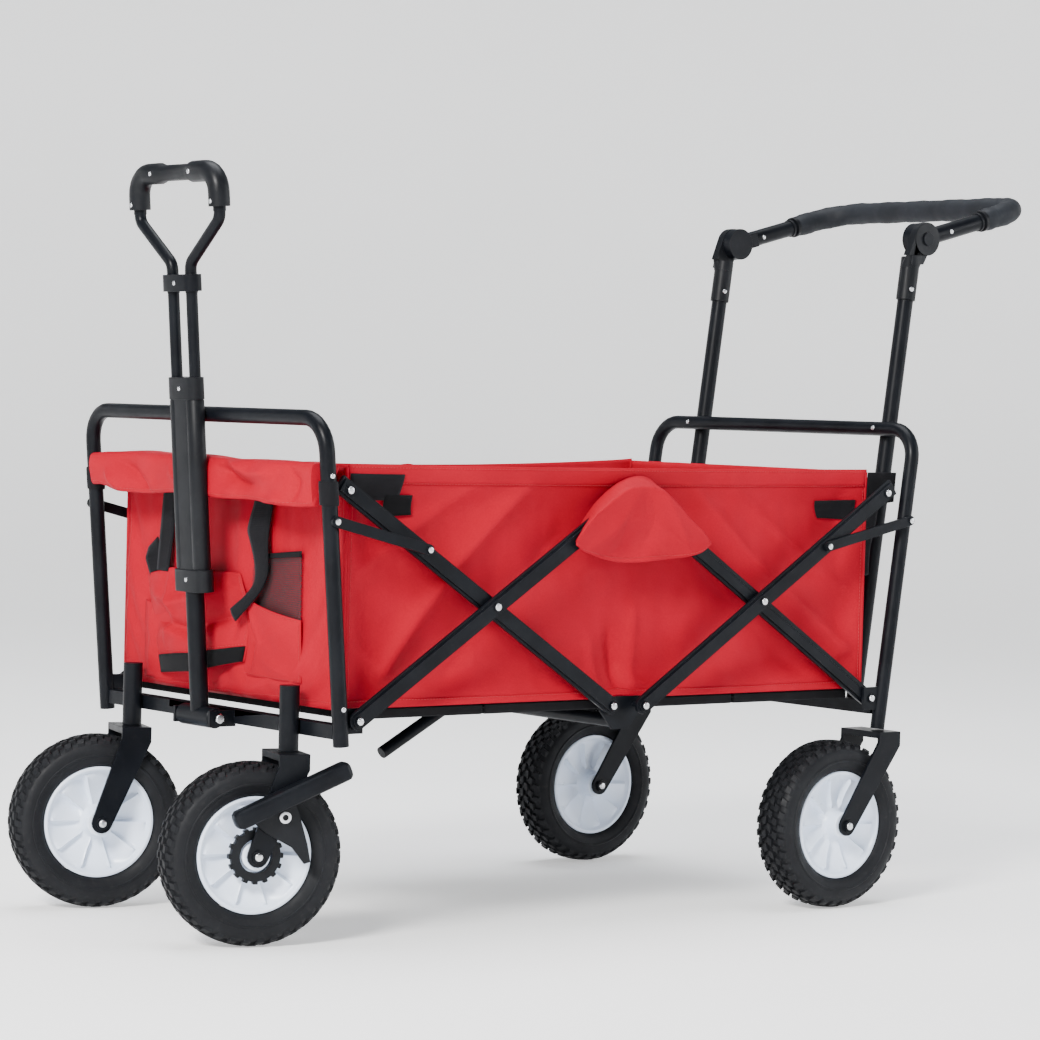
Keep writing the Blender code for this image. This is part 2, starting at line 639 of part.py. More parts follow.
def build_pull_handle(steel, plastic):
    tube = rod((0, 0, 0.0), (0, 0, SLEEVE_LOW - 0.0045), 0.0106, 20)
    barrel = rod((0, -0.0340, 0), (0, 0.0340, 0), 0.0092, 20)
    tube = cut(join(tube, [barrel]), [rod((0, -0.05, 0), (0, 0.05, 0), 0.0042 + GAP, 20)])
    finish_object("pull_tube", tilt_pull(tube), steel, PULL_HINGE)

    sleeve = oval_block(0.0270, 0.0094, SLEEVE_LOW - 0.003, SLEEVE_HIGH)
    collars = [oval_block(0.0310, 0.0114, SLEEVE_LOW - 0.004, SLEEVE_LOW + 0.021)]
    collars.append(oval_block(0.0282, 0.0104, SLEEVE_HIGH - 0.024, SLEEVE_HIGH + 0.001))
    sleeve = join(sleeve, collars)
    radius = PULL_TUBE_R + GAP
    bores = []
    for _, side in SIDES:
        y = side * PULL_TUBE_Y
        bores.append(rod((0, y, SLEEVE_LOW + 0.002), (0, y, 0.5), radius))
    finish_object("pull_sleeve", tilt_pull(cut(sleeve, bores)), plastic, pull_point(SLEEVE_LOW))

    for side_name, side in SIDES:
        stage = rod((0, side * PULL_TUBE_Y, 0.2460), (0, side * PULL_TUBE_Y, YOKE_LOW - GAP), PULL_TUBE_R)
        finish_object(f"pull_stage_{side_name}", tilt_pull(stage), steel, pull_point(YOKE_LOW))
    arms = []
    for _, side in SIDES:
        corners = [(0, side * PULL_TUBE_Y, YOKE_LOW + 0.004), (0, side * PULL_TUBE_Y, YOKE_HIGH + 0.0120)]
        corners += [(0, side * GRIP_HALF_Y, 0.5610), (0, side * GRIP_HALF_Y, 0.5740 - GAP)]
        arms.append(sweep(rounded_path(corners, 0.0150, 4), 0.0067))
    yoke = join(oval_block(0.0310, 0.0112, YOKE_LOW, YOKE_HIGH), arms)
    finish_object("pull_yoke", tilt_pull(yoke), steel, pull_point(YOKE_LOW))

    corners = [(0, -GRIP_HALF_Y, 0.5740), (0, -GRIP_HALF_Y, GRIP_TOP), (0, GRIP_HALF_Y, GRIP_TOP)]
    corners.append((0, GRIP_HALF_Y, 0.5740))
    path = rounded_path(corners, 0.0240, 6)
    middle = len(path) // 2
    ends = [Vector((0, y, GRIP_TOP)) for y in (-0.0340, -0.0270, 0.0270, 0.0340)]
    path = path[:middle] + ends + path[middle:]
    radii = [0.0122] * (middle + 1) + [0.0094] * 2 + [0.0122] * (middle + 1)
    finish_object("pull_grip", tilt_pull(sweep(path, radii)), plastic, pull_point(GRIP_TOP))


def push_line_x(z):
    return rear_post_x(z) + PUSH_OFFSET


def build_push_handle(steel, plastic, foam):
    along = Vector((math.cos(PUSH_RISE), 0.0, math.sin(PUSH_RISE)))
    for side_name, side in SIDES:
        low = (push_line_x(BAR_LOW), side * PUSH_Y, BAR_LOW)
        high = (push_line_x(SOCKET_Z - GAP), side * PUSH_Y, SOCKET_Z - GAP)
        finish_object(f"push_post_{side_name}", rod(low, high, PUSH_R), steel, low)

        base = (push_line_x(SOCKET_Z), side * PUSH_Y, SOCKET_Z)
        neck_z = PUSH_HINGE.z - 0.0240
        socket = rod(base, (push_line_x(neck_z), side * PUSH_Y, neck_z), 0.0122)
        half = (PUSH_Y + GAP, 0.1890)
        neck_x = push_line_x(neck_z)
        neck = [(neck_x - 0.0110, neck_z - 0.0080), (neck_x + 0.0110, neck_z - 0.0080)]
        neck += [(PUSH_HINGE.x + 0.0120, PUSH_HINGE.z), (PUSH_HINGE.x - 0.0190, PUSH_HINGE.z + 0.0050)]
        disc = cross_rod(side, PUSH_HINGE.x, PUSH_HINGE.z, half, DISC_R, 28)
        socket = join(socket, [side_prism(side, neck, (half[0], half[1] - 0.0005)), disc])
        socket = cut(socket, [cross_rod(side, PUSH_HINGE.x, PUSH_HINGE.z, (0.16, 0.21), 0.0040 + GAP, 16)])
        hinge = (PUSH_HINGE.x, side * PUSH_Y, PUSH_HINGE.z)
        finish_object(f"push_socket_{side_name}", socket, plastic, hinge)

        inner = (0.1640, PUSH_Y)
        disc = cross_rod(side, PUSH_HINGE.x, PUSH_HINGE.z, inner, DISC_R, 28)
        start = Vector((PUSH_HINGE.x, side * ARM_Y, PUSH_HINGE.z))
        tube = rod(start + along * 0.0215, start + along * (0.1085 - GAP), 0.0105)
        up = Vector((-along.z, 0.0, along.x)) * 0.0095
        centre = Vector((PUSH_HINGE.x, 0.0, PUSH_HINGE.z))
        web = [centre - up, centre + along * 0.032 - up, centre + along * 0.032 + up, centre + up]
        web = side_prism(side, [(point.x, point.z) for point in web], (inner[0] + 0.0005, inner[1] - 0.0005))
        pin = cross_rod(side, PUSH_HINGE.x, PUSH_HINGE.z, (0.1700, 0.1900), 0.0040, 16)
        cap = cross_rod(side, PUSH_HINGE.x, PUSH_HINGE.z, (0.1893, 0.1915), 0.0085, 20)
        finish_object(f"push_arm_{side_name}", join(disc, [web, tube, pin, cap]), steel, hinge)

    legs = [Vector((PUSH_HINGE.x, s * ARM_Y, PUSH_HINGE.z)) for _, s in SIDES]
    corners = [legs[0] + along * 0.1085, legs[0] + along * PUSH_GRIP_S]
    corners += [legs[1] + along * PUSH_GRIP_S, legs[1] + along * 0.1085]
    grip = sweep(rounded_path(corners, 0.0480, 7), PUSH_GRIP_R, 18)
    finish_object("push_grip", grip, foam, PUSH_HINGE + along * PUSH_GRIP_S)


def main():
    for obj in list(bpy.data.objects):
        bpy.data.objects.remove(obj)
    steel = make_material("powder_coat", (0.030, 0.034, 0.040), 0.42, 0.35)
    cloth = make_material("red_cloth", (0.640, 0.035, 0.050), 0.72, 0.0)
    board = make_material("black_board", (0.020, 0.020, 0.022), 0.80, 0.0)
    rubber = make_material("tyre_rubber", (0.022, 0.023, 0.025), 0.85, 0.0)
    white = make_material("white_plastic", (0.780, 0.800, 0.830), 0.38, 0.0)
    black = make_material("black_plastic", (0.025, 0.027, 0.030), 0.50, 0.0)
    foam = make_material("grip_foam", (0.035, 0.038, 0.044), 0.78, 0.0)
    build_front_frame(steel)
    build_rear_frame(steel)
    build_scissors(steel)
    build_links(steel)
    build_struts(steel)
    build_casters(steel, rubber, white, black)
    build_basket(cloth, board)
    build_pull_handle(steel, black)
    build_push_handle(steel, black, foam)
    for obj in bpy.data.objects:
        obj.location.x += SHIFT_X


main()
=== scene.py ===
"""The visual model of a folding utility wagon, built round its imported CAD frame."""

import json
import math

import bmesh
import bpy
import numpy as np
from mathutils import Matrix, Vector


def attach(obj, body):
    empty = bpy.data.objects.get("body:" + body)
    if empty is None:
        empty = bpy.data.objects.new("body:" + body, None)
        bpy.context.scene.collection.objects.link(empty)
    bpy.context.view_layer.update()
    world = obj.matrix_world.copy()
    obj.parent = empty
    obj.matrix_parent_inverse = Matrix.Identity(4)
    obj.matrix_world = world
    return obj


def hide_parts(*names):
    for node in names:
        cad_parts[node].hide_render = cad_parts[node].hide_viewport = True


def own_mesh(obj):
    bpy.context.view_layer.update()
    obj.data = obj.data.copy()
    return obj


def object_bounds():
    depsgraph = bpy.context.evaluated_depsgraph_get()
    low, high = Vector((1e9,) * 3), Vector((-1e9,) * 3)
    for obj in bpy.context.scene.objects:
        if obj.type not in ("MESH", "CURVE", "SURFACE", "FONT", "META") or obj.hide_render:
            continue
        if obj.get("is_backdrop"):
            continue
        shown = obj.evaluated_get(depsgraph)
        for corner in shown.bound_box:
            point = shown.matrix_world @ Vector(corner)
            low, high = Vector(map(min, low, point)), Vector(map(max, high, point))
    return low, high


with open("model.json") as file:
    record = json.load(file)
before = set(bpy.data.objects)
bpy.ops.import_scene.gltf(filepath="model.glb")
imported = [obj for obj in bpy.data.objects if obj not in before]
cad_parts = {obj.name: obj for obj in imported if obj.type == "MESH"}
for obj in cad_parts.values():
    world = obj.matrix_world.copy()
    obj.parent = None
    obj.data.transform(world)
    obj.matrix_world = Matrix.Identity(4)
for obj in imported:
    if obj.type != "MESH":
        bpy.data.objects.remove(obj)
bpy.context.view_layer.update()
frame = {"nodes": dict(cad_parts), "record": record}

# Lengths are in metres.  Shapes are drawn about the middle of the wheelbase, and make_object moves them by
# SHIFT_X into the frame.
SHIFT_X = -0.0775
SIDES = (("left", -1), ("right", 1))

# The front end of the basket.
FRONT_EDGE = -0.3880

# The scissor bars' rise per metre, the heights of their rivets, and the height where the posts' lines start.
SCISSOR_SLOPE = 0.65676
CROSSING_Z = 0.3740
VALLEY_Z = 0.2562
POST_FOOT_Z = 0.2390


def front_post_x(z):
    """Where the leaning posts of the front arch are at a height."""
    return -0.4030 - 0.0858 * (z - POST_FOOT_Z)


def rear_post_x(z):
    """Where the leaning posts of the rear arch are at a height."""
    return 0.4010 + 0.1365 * (z - POST_FOOT_Z)


# ---------------------------------------------------------------- materials


def add(tree, kind, inputs=None, **settings):
    """A shader node; inputs are constants or other nodes' sockets, by name or by number."""
    node = tree.nodes.new("ShaderNode" + kind)
    for name, value in settings.items():
        setattr(node, name, value)
    for name, value in (inputs or {}).items():
        if isinstance(value, bpy.types.NodeSocket):
            tree.links.new(value, node.inputs[name])
        else:
            node.inputs[name].default_value = value
    return node


def principled(name, roughness, metallic=0.0):
    material = bpy.data.materials.new(name)
    material.use_nodes = True
    tree = material.node_tree
    shader = tree.nodes["Principled BSDF"]
    shader.inputs["Roughness"].default_value = roughness
    shader.inputs["Metallic"].default_value = metallic
    return material, tree, shader


def noise(tree, coords, scale, detail=2.0):
    inputs = {"Vector": coords, "Scale": scale, "Detail": detail}
    return add(tree, "TexNoise", inputs).outputs["Fac"]


def remap(tree, value, low, high, to_low, to_high):
    inputs = {0: value, 1: low, 2: high, 3: to_low, 4: to_high}
    return add(tree, "MapRange", inputs).outputs[0]


def blend_colours(tree, factor, first, second):
    inputs = {"Fac": factor, "Color1": (*first, 1.0), "Color2": (*second, 1.0)}
    return add(tree, "MixRGB", inputs).outputs[0]


def shade(tree, factor, colour):
    """The colour socket made darker or lighter by the factor socket."""
    inputs = {"Fac": 1.0, "Color1": colour, "Color2": factor}
    return add(tree, "MixRGB", inputs, blend_type="MULTIPLY").outputs[0]


def bump(tree, height, strength, distance, normal=None):
    inputs = {"Height": height, "Strength": strength, "Distance": distance}
    if normal is not None:
        inputs["Normal"] = normal
    return add(tree, "Bump", inputs).outputs[0]


def moulded(name, dark, light, roughness, grain, depth, metallic=0.0, coat=0.0, dust=0.0, specular=0.5):
    """Paint, plastic or rubber: mottled colour and gloss, and a fine grain of the given size in metres."""
    material, tree, shader = principled(name, sum(roughness) / 2, metallic)
    coords = add(tree, "TexCoord").outputs["Object"]
    mottle = noise(tree, coords, 22.0, 5.0)
    colour = blend_colours(tree, remap(tree, mottle, 0.35, 0.65, 0.0, 1.0), dark, light)
    if dust:
        specks = remap(tree, noise(tree, coords, 160.0, 6.0), 0.56, 0.74, 0.0, dust)
        inputs = {"Fac": specks, "Color1": colour, "Color2": (0.34, 0.32, 0.30, 1.0)}
        colour = add(tree, "MixRGB", inputs).outputs[0]
    tree.links.new(colour, shader.inputs["Base Color"])
    gloss = remap(tree, noise(tree, coords, 60.0, 4.0), 0.3, 0.7, *roughness)
    tree.links.new(gloss, shader.inputs["Roughness"])
    skin = noise(tree, coords, 0.5 / grain, 3.0)
    tree.links.new(bump(tree, skin, 0.5, depth), shader.inputs["Normal"])
    shader.inputs["Coat Weight"].default_value = coat
    shader.inputs["Coat Roughness"].default_value = 0.22
    shader.inputs["Specular IOR Level"].default_value = specular
    return material


def threads(tree, coords, pitch):
    """Warp and weft that pass over and under each other, from 0 to 1."""
    scale = math.pi / 10.0 / pitch
    waves = []
    for direction in ("X", "Y"):
        inputs = {"Vector": coords, "Scale": scale, "Distortion": 0.35, "Detail": 1.0, "Detail Scale": 0.3}
        waves.append(add(tree, "TexWave", inputs, bands_direction=direction).outputs["Fac"])
    return add(tree, "Math", {0: waves[0], 1: waves[1]}, operation="MULTIPLY").outputs[0]


def woven(name, dark, light, pitch, roughness, sheen, tint, depth=0.00012):
    """Cloth.  The UV map is the flat cut in metres, so the weave keeps its size everywhere."""
    material, tree, shader = principled(name, roughness)
    coords = add(tree, "TexCoord").outputs["UV"]
    weave = threads(tree, coords, pitch)
    wide = noise(tree, coords, 9.0, 4.0)
    colour = blend_colours(tree, remap(tree, wide, 0.3, 0.7, 0.0, 1.0), dark, light)
    colour = shade(tree, remap(tree, weave, 0.0, 1.0, 0.86, 1.08), colour)
    slubs = remap(tree, noise(tree, coords, 420.0, 2.0), 0.3, 0.7, 0.93, 1.05)
    tree.links.new(shade(tree, slubs, colour), shader.inputs["Base Color"])
    gloss = remap(tree, noise(tree, coords, 35.0, 3.0), 0.3, 0.7, roughness - 0.06, roughness + 0.06)
    tree.links.new(gloss, shader.inputs["Roughness"])
    soft = bump(tree, noise(tree, coords, 38.0, 3.0), 0.35, 0.0022)
    tree.links.new(bump(tree, weave, 0.55, depth, soft), shader.inputs["Normal"])
    shader.inputs["Sheen Weight"].default_value = sheen
    shader.inputs["Sheen Roughness"].default_value = 0.45
    shader.inputs["Sheen Tint"].default_value = (*tint, 1.0)
    shader.inputs["Specular IOR Level"].default_value = 0.09
    return material


def netting(name, pitch):
    """Black net with open cells."""
    material, tree, shader = principled(name, 0.7)
    shader.inputs["Base Color"].default_value = (0.012, 0.012, 0.014, 1.0)
    coords = add(tree, "TexCoord").outputs["UV"]
    inputs = {"Vector": coords, "Scale": 1.0 / pitch, "Randomness": 0.12}
    cells = add(tree, "TexVoronoi", inputs, feature="DISTANCE_TO_EDGE").outputs["Distance"]
    inside = add(tree, "Math", {0: cells, 1: 0.11}, operation="GREATER_THAN").outputs[0]
    clear = add(tree, "BsdfTransparent").outputs[0]
    mixed = add(tree, "MixShader", {0: inside, 1: shader.outputs[0], 2: clear}).outputs[0]
    tree.links.new(mixed, tree.nodes["Material Output"].inputs["Surface"])
    return material


COAT = moulded("satin_black_coat", (0.0024, 0.0030, 0.0046), (0.0048, 0.0058, 0.0080), (0.30, 0.42),
               0.0009, 0.00008, dust=0.006, specular=0.11)
RED = woven("red_oxford", (0.325, 0.0008, 0.0120), (0.410, 0.0015, 0.0175), 0.00065, 0.66, 0.012,
            (1.0, 0.35, 0.40))
BLACK_CLOTH = woven("black_oxford", (0.004, 0.004, 0.005), (0.007, 0.007, 0.008), 0.00065, 0.75, 0.04,
                    (0.8, 0.8, 0.9))
WEBBING = woven("black_webbing", (0.004, 0.004, 0.005), (0.008, 0.008, 0.010), 0.00140, 0.72, 0.05,
                (0.8, 0.8, 0.9), 0.00035)
FLEECE = woven("black_hook_and_loop", (0.003, 0.003, 0.0035), (0.006, 0.006, 0.007), 0.00110, 0.92, 0.05,
               (0.7, 0.7, 0.75), 0.00060)
NET = netting("black_net", 0.0022)
RUBBER = moulded("tyre_rubber_finish", (0.0065, 0.0070, 0.0085), (0.0095, 0.0102, 0.0120), (0.50, 0.66),
                 0.0006, 0.00010, dust=0.016, specular=0.14)
# The rims' white base colour is tinted blue: a painted reflection of the sky, not the plastic's own colour.
WHITE_SKY_TINTED = moulded("white_rim_plastic_painted_sky_tint", (0.700, 0.790, 0.940), (0.770, 0.850, 0.985), (0.26, 0.38),
                0.0012, 0.00005, coat=0.15)
PLASTIC = moulded("black_plastic_finish", (0.0040, 0.0046, 0.0060), (0.0068, 0.0076, 0.0094), (0.34, 0.46),
                  0.0005, 0.00007, dust=0.008, specular=0.14)
FOAM = moulded("foam_sleeve_finish", (0.0085, 0.0100, 0.0130), (0.0125, 0.0145, 0.0185), (0.55, 0.70),
               0.0008, 0.00018, dust=0.012, specular=0.18)
ZINC = moulded("zinc_plated_steel", (0.560, 0.570, 0.590), (0.700, 0.710, 0.730), (0.20, 0.34),
               0.0010, 0.00004, metallic=1.0)
THREAD = moulded("red_thread", (0.300, 0.006, 0.012), (0.380, 0.010, 0.018), (0.60, 0.75), 0.0003, 0.00010)

CAD_FINISH = {
    "powder_coat": COAT,
    "red_cloth": RED,
    "black_board": BLACK_CLOTH,
    "tyre_rubber": RUBBER,
    "white_plastic": WHITE_SKY_TINTED,
    "black_plastic": PLASTIC,
    "grip_foam": FOAM,
}


# ---------------------------------------------------------------- meshes


def make_object(name, points, faces, material, uvs=None, smooth_angle=40.0):
    """An object from points in drawing coordinates; uvs are given for each point."""
    mesh = bpy.data.meshes.new(name)
    points = np.asarray(points, float) + np.array([SHIFT_X, 0.0, 0.0])
    mesh.from_pydata(points.tolist(), [], [tuple(int(i) for i in face) for face in faces])
    if uvs is not None:
        layer = mesh.uv_layers.new(name="flat")
        corners = np.empty(len(mesh.loops), np.int32)
        mesh.loops.foreach_get("vertex_index", corners)
        layer.data.foreach_set("uv", np.asarray(uvs, np.float32)[corners].ravel())
    mesh.polygons.foreach_set("use_smooth", [True] * len(mesh.polygons))
    mesh.update()
    mesh.set_sharp_from_angle(angle=math.radians(smooth_angle))
    mesh.materials.append(material)
    obj = bpy.data.objects.new(name, mesh)
    bpy.context.scene.collection.objects.link(obj)
    return obj


class Pile:
    """Points and faces gathered from several shapes, to make one object."""

    def __init__(self):
        self.points = []
        self.faces = []
        self.count = 0

    def add(self, points, faces, matrix=None):
        points = np.asarray(points, float)
        if matrix is not None:
            m = np.array(matrix, float)
            points = points @ m[:3, :3].T + m[:3, 3]
        self.points.append(points)
        self.faces += [tuple(i + self.count for i in face) for face in faces]
        self.count += len(points)
        return self

    def make(self, name, material, smooth_angle):
        return make_object(name, np.concatenate(self.points), self.faces, material, None, smooth_angle)


def ring_faces(rings, steps, closed=False):
    """Quads between rings of the same number of points, in order, with flat ends unless closed."""
    faces = []
    for ring in range(rings if closed else rings - 1):
        following = (ring + 1) % rings
        for step in range(steps):
            after = (step + 1) % steps
            a, b = ring * steps + step, ring * steps + after
            faces.append((a, b, following * steps + after, following * steps + step))
    if not closed:
        faces.append(tuple(reversed(range(steps))))
        faces.append(tuple(range((rings - 1) * steps, rings * steps)))
    return faces


def lathe(profile, steps, wobble=None):
    """A shape turned about the Y axis from (radius, y) points; wobble(radius, y, angles) moves y."""
    angles = np.arange(steps) * 2 * math.pi / steps
    rings = []
    for radius, y in profile:
        ys = np.full(steps, y) if wobble is None else y + wobble(radius, y, angles)
        rings.append(np.stack([radius * np.cos(angles), ys, radius * np.sin(angles)], axis=1))
    return np.concatenate(rings)


def lathe_closed(profile, steps, wobble=None):
    """A ring turned about the Y axis from a closed profile, as points and faces."""
    return lathe(profile, steps, wobble), ring_faces(len(profile), steps, closed=True)


def tube(path, radii, steps):
    """A round tube along the path, with rounded turning and flat ends."""
    path = [Vector(point) for point in path]
    if not isinstance(radii, (list, tuple)):
        radii = [radii] * len(path)
    tangent = (path[1] - path[0]).normalized()
    guide = Vector((0, 0, 1)) if abs(tangent.z) < 0.9 else Vector((1, 0, 0))
    normal = tangent.cross(guide).normalized()
    points = []
    for index, point in enumerate(path):
        ahead = path[min(index + 1, len(path) - 1)] - path[max(index - 1, 0)]
        turn = tangent.rotation_difference(ahead.normalized())
        normal = (turn @ normal).normalized()
        tangent = ahead.normalized()
        side = tangent.cross(normal)
        for step in range(steps):
            angle = 2 * math.pi * step / steps
            points.append(point + (normal * math.cos(angle) + side * math.sin(angle)) * radii[index])
    return np.array([list(p) for p in points]), ring_faces(len(path), steps)


def block(low, high, chamfer=0.0):
    """A box with its edges cut back by the chamfer."""
    low, high = np.array(low, float), np.array(high, float)
    centre, half = (low + high) / 2, (high - low) / 2
    points = []
    for sx in (-1, 1):
        for sy in (-1, 1):
            for sz in (-1, 1):
                sign = np.array([sx, sy, sz])
                for axis in range(3):
                    inset = np.full(3, chamfer)
                    inset[axis] = 0.0
                    points.append(centre + sign * (half - inset))
    return hull(points)


def hull(points):
    """The convex hull of the points, as points and faces."""
    bm = bmesh.new()
    for point in points:
        bm.verts.new(tuple(point))
    bmesh.ops.convex_hull(bm, input=bm.verts)
    bmesh.ops.dissolve_limit(bm, angle_limit=0.001, verts=bm.verts, edges=bm.edges)
    loose = [vert for vert in bm.verts if not vert.link_faces]
    bmesh.ops.delete(bm, geom=loose, context="VERTS")
    bm.verts.index_update()
    result = [tuple(vert.co) for vert in bm.verts], [tuple(v.index for v in face.verts) for face in bm.faces]
    bm.free()
    return result


def facing(direction):
    """A rotation that takes +Y to the direction."""
    return Vector((0, 1, 0)).rotation_difference(Vector(direction).normalized()).to_matrix().to_4x4()


# ---------------------------------------------------------------- cloth


def grid_faces(rows, columns):
    faces = []
    for i in range(rows - 1):
        for j in range(columns - 1):
            a = i * columns + j
            faces.append((a, a + columns, a + columns + 1, a + 1))
    return faces


CLOTH_SETTINGS = {
    "quality": 8,
    "mass": 0.3,
    "air_damping": 2.0,
    "tension_stiffness": 60.0,
    "compression_stiffness": 45.0,
    "shear_stiffness": 20.0,
    "tension_damping": 12.0,
    "compression_damping": 12.0,
    "shear_damping": 8.0,
    "bending_damping": 1.0,
    "vertex_group_mass": "pinned",
    "pin_stiffness": 1.0,
}


def settle(points, slack, frames, bending):
    """The grid of points hung as cloth, held at its edges and cut larger than its place by the slack."""
    rows, columns = points.shape[:2]
    obj = make_object("settling", points.reshape(-1, 3), grid_faces(rows, columns), RED)
    edges = np.zeros((rows, columns), bool)
    edges[:, [0, -1]] = True
    edges[[0, -1], :] = True
    obj.vertex_groups.new(name="pinned").add(np.flatnonzero(edges).tolist(), 1.0, "REPLACE")
    modifier = obj.modifiers.new("cloth", "CLOTH")
    for name, value in CLOTH_SETTINGS.items():
        setattr(modifier.settings, name, value)
    modifier.settings.bending_stiffness = bending
    modifier.settings.shrink_min = -slack
    modifier.settings.shrink_max = -slack
    modifier.collision_settings.use_collision = False
    modifier.collision_settings.use_self_collision = False
    scene = bpy.context.scene
    for timed in (modifier.point_cache, scene):
        timed.frame_start = 1
        timed.frame_end = frames
    for number in range(1, frames + 1):
        scene.frame_set(number)
    shown = obj.evaluated_get(bpy.context.evaluated_depsgraph_get())
    result = np.empty(len(obj.data.vertices) * 3, np.float32)
    shown.data.vertices.foreach_get("co", result)
    mesh = obj.data
    bpy.data.objects.remove(obj)
    bpy.data.meshes.remove(mesh)
    scene.frame_set(1)
    return result.reshape(points.shape).astype(float) - np.array([SHIFT_X, 0.0, 0.0])


class Cloth:
    """A sheet as a grid of points, with its flat cut's size; other pieces can be laid on it."""

    def __init__(self, points, size, outward):
        self.points = points
        self.size = size
        along = np.gradient(points, axis=0)
        across = np.gradient(points, axis=1)
        normals = np.cross(along, across)
        normals /= np.linalg.norm(normals, axis=2, keepdims=True) + 1e-12
        if (normals.reshape(-1, 3).mean(0) @ np.array(outward)) < 0:
            normals = -normals
        self.normals = normals

    def at(self, a, b, lift):
        """The points at flat distances a and b from the first corner, lifted off the cloth."""
        a, b = np.asarray(a, float), np.asarray(b, float)
        rows, columns = self.points.shape[:2]
        i = np.clip(a / self.size[0], 0, 1) * (rows - 1)
        j = np.clip(b / self.size[1], 0, 1) * (columns - 1)
        i0, j0 = np.minimum(i.astype(int), rows - 2), np.minimum(j.astype(int), columns - 2)
        fi, fj = (i - i0)[..., None], (j - j0)[..., None]
        found = []
        for table in (self.points, self.normals):
            near = table[i0, j0] * (1 - fj) + table[i0, j0 + 1] * fj
            far = table[i0 + 1, j0] * (1 - fj) + table[i0 + 1, j0 + 1] * fj
            found.append(near * (1 - fi) + far * fi)
        return found[0] + found[1] * np.asarray(lift, float)[..., None]

    def make(self, name, material, thickness=0.0007):
        rows, columns = self.points.shape[:2]
        u, v = unit_grid(rows, columns)
        uvs = np.stack([self.size[0] * u, self.size[1] * v], axis=2).reshape(-1, 2)
        obj = make_object(name, self.points.reshape(-1, 3), grid_faces(rows, columns), material, uvs, 80.0)
        thicken(obj, thickness)
        return obj


def thicken(obj, thickness):
    modifier = obj.modifiers.new("thickness", "SOLIDIFY")
    modifier.thickness = thickness
    modifier.offset = 0.0
    return obj


def rectangle(left, right, low, high):
    return [(left, low), (right, low), (right, high), (left, high)]


def unit_grid(rows, columns):
    """Two grids of numbers from 0 to 1: the first grows from row to row, the second from column to column."""
    return np.meshgrid(np.linspace(0, 1, rows), np.linspace(0, 1, columns), indexing="ij")


def quad_patch(name, cloth, corners, material, lift, thickness, cells, wave=0.0):
    """A flat piece laid on the cloth, inside four corners given as flat distances in order round it."""
    s, t = unit_grid(cells[0] + 1, cells[1] + 1)
    c = [np.array(corner, float) for corner in corners]
    flat = ((1 - s) * (1 - t))[..., None] * c[0] + (s * (1 - t))[..., None] * c[1]
    flat = flat + (s * t)[..., None] * c[2] + ((1 - s) * t)[..., None] * c[3]
    lifts = lift + wave * np.sin(s * math.pi) * np.sin(t * math.pi)
    points = cloth.at(flat[..., 0], flat[..., 1], lifts)
    obj = make_object(name, points.reshape(-1, 3), grid_faces(cells[0] + 1, cells[1] + 1), material,
                      flat.reshape(-1, 2), 80.0)
    return thicken(obj, thickness)


def distances(path):
    """How far along the path each of its points is."""
    return np.concatenate([[0], np.cumsum(np.linalg.norm(np.diff(path, axis=0), axis=1))])


def resampled(path, along, at):
    """The places on the path at some distances; along says how far along each of its own points is."""
    return np.stack([np.interp(at, along, path[:, k]) for k in range(path.shape[1])], axis=1)


def smoothed(values, times):
    """Evens out each value with its neighbours along the first axis; the first and the last stay."""
    for _ in range(times):
        values[1:-1] = (values[:-2] + values[1:-1] * 2 + values[2:]) / 4
    return values


STITCH_PITCH = 0.0042
STITCH_LENGTH = 0.0030
STITCH_RADIUS = 0.00036


def stitch_shapes(starts, ends, normals):
    """One small raised bead for each stitch, from start to end."""
    points, faces = [], []
    along = ends - starts
    length = np.linalg.norm(along, axis=1, keepdims=True)
    along = along / np.maximum(length, 1e-9)
    side = np.cross(along, normals)
    for place, size in ((0.0, 0.35), (0.25, 1.0), (0.75, 1.0), (1.0, 0.35)):
        centre = starts + (ends - starts) * place
        for turn in (1, 0), (0, 1), (-1, 0), (0, -0.4):
            points.append(centre + (side * turn[0] + normals * turn[1]) * STITCH_RADIUS * size)
    points = np.stack(points, axis=1).reshape(-1, 3)
    for base in range(0, len(points), 16):
        for face in ring_faces(4, 4):
            faces.append(tuple(base + i for i in face))
    return points, faces


def stitches(name, cloth, paths, lift=0.0006):
    """Rows of stitches along paths of flat distances on the cloth."""
    pile = Pile()
    for path in paths:
        path = np.asarray(path, float)
        along = distances(path)
        middles = np.arange(STITCH_PITCH / 2, along[-1], STITCH_PITCH)
        first = resampled(path, along, middles - STITCH_LENGTH / 2)
        last = resampled(path, along, middles + STITCH_LENGTH / 2)
        starts = cloth.at(first[:, 0], first[:, 1], np.full(len(middles), lift))
        ends = cloth.at(last[:, 0], last[:, 1], np.full(len(middles), lift))
        raised = cloth.at(first[:, 0], first[:, 1], np.full(len(middles), lift + 0.001))
        pile.add(*stitch_shapes(starts, ends, (raised - starts) / 0.001))
    return pile.make(name, THREAD, 30.0)


def smooth_step(value):
    value = np.clip(value, 0.0, 1.0)
    return value * value * (3 - 2 * value)


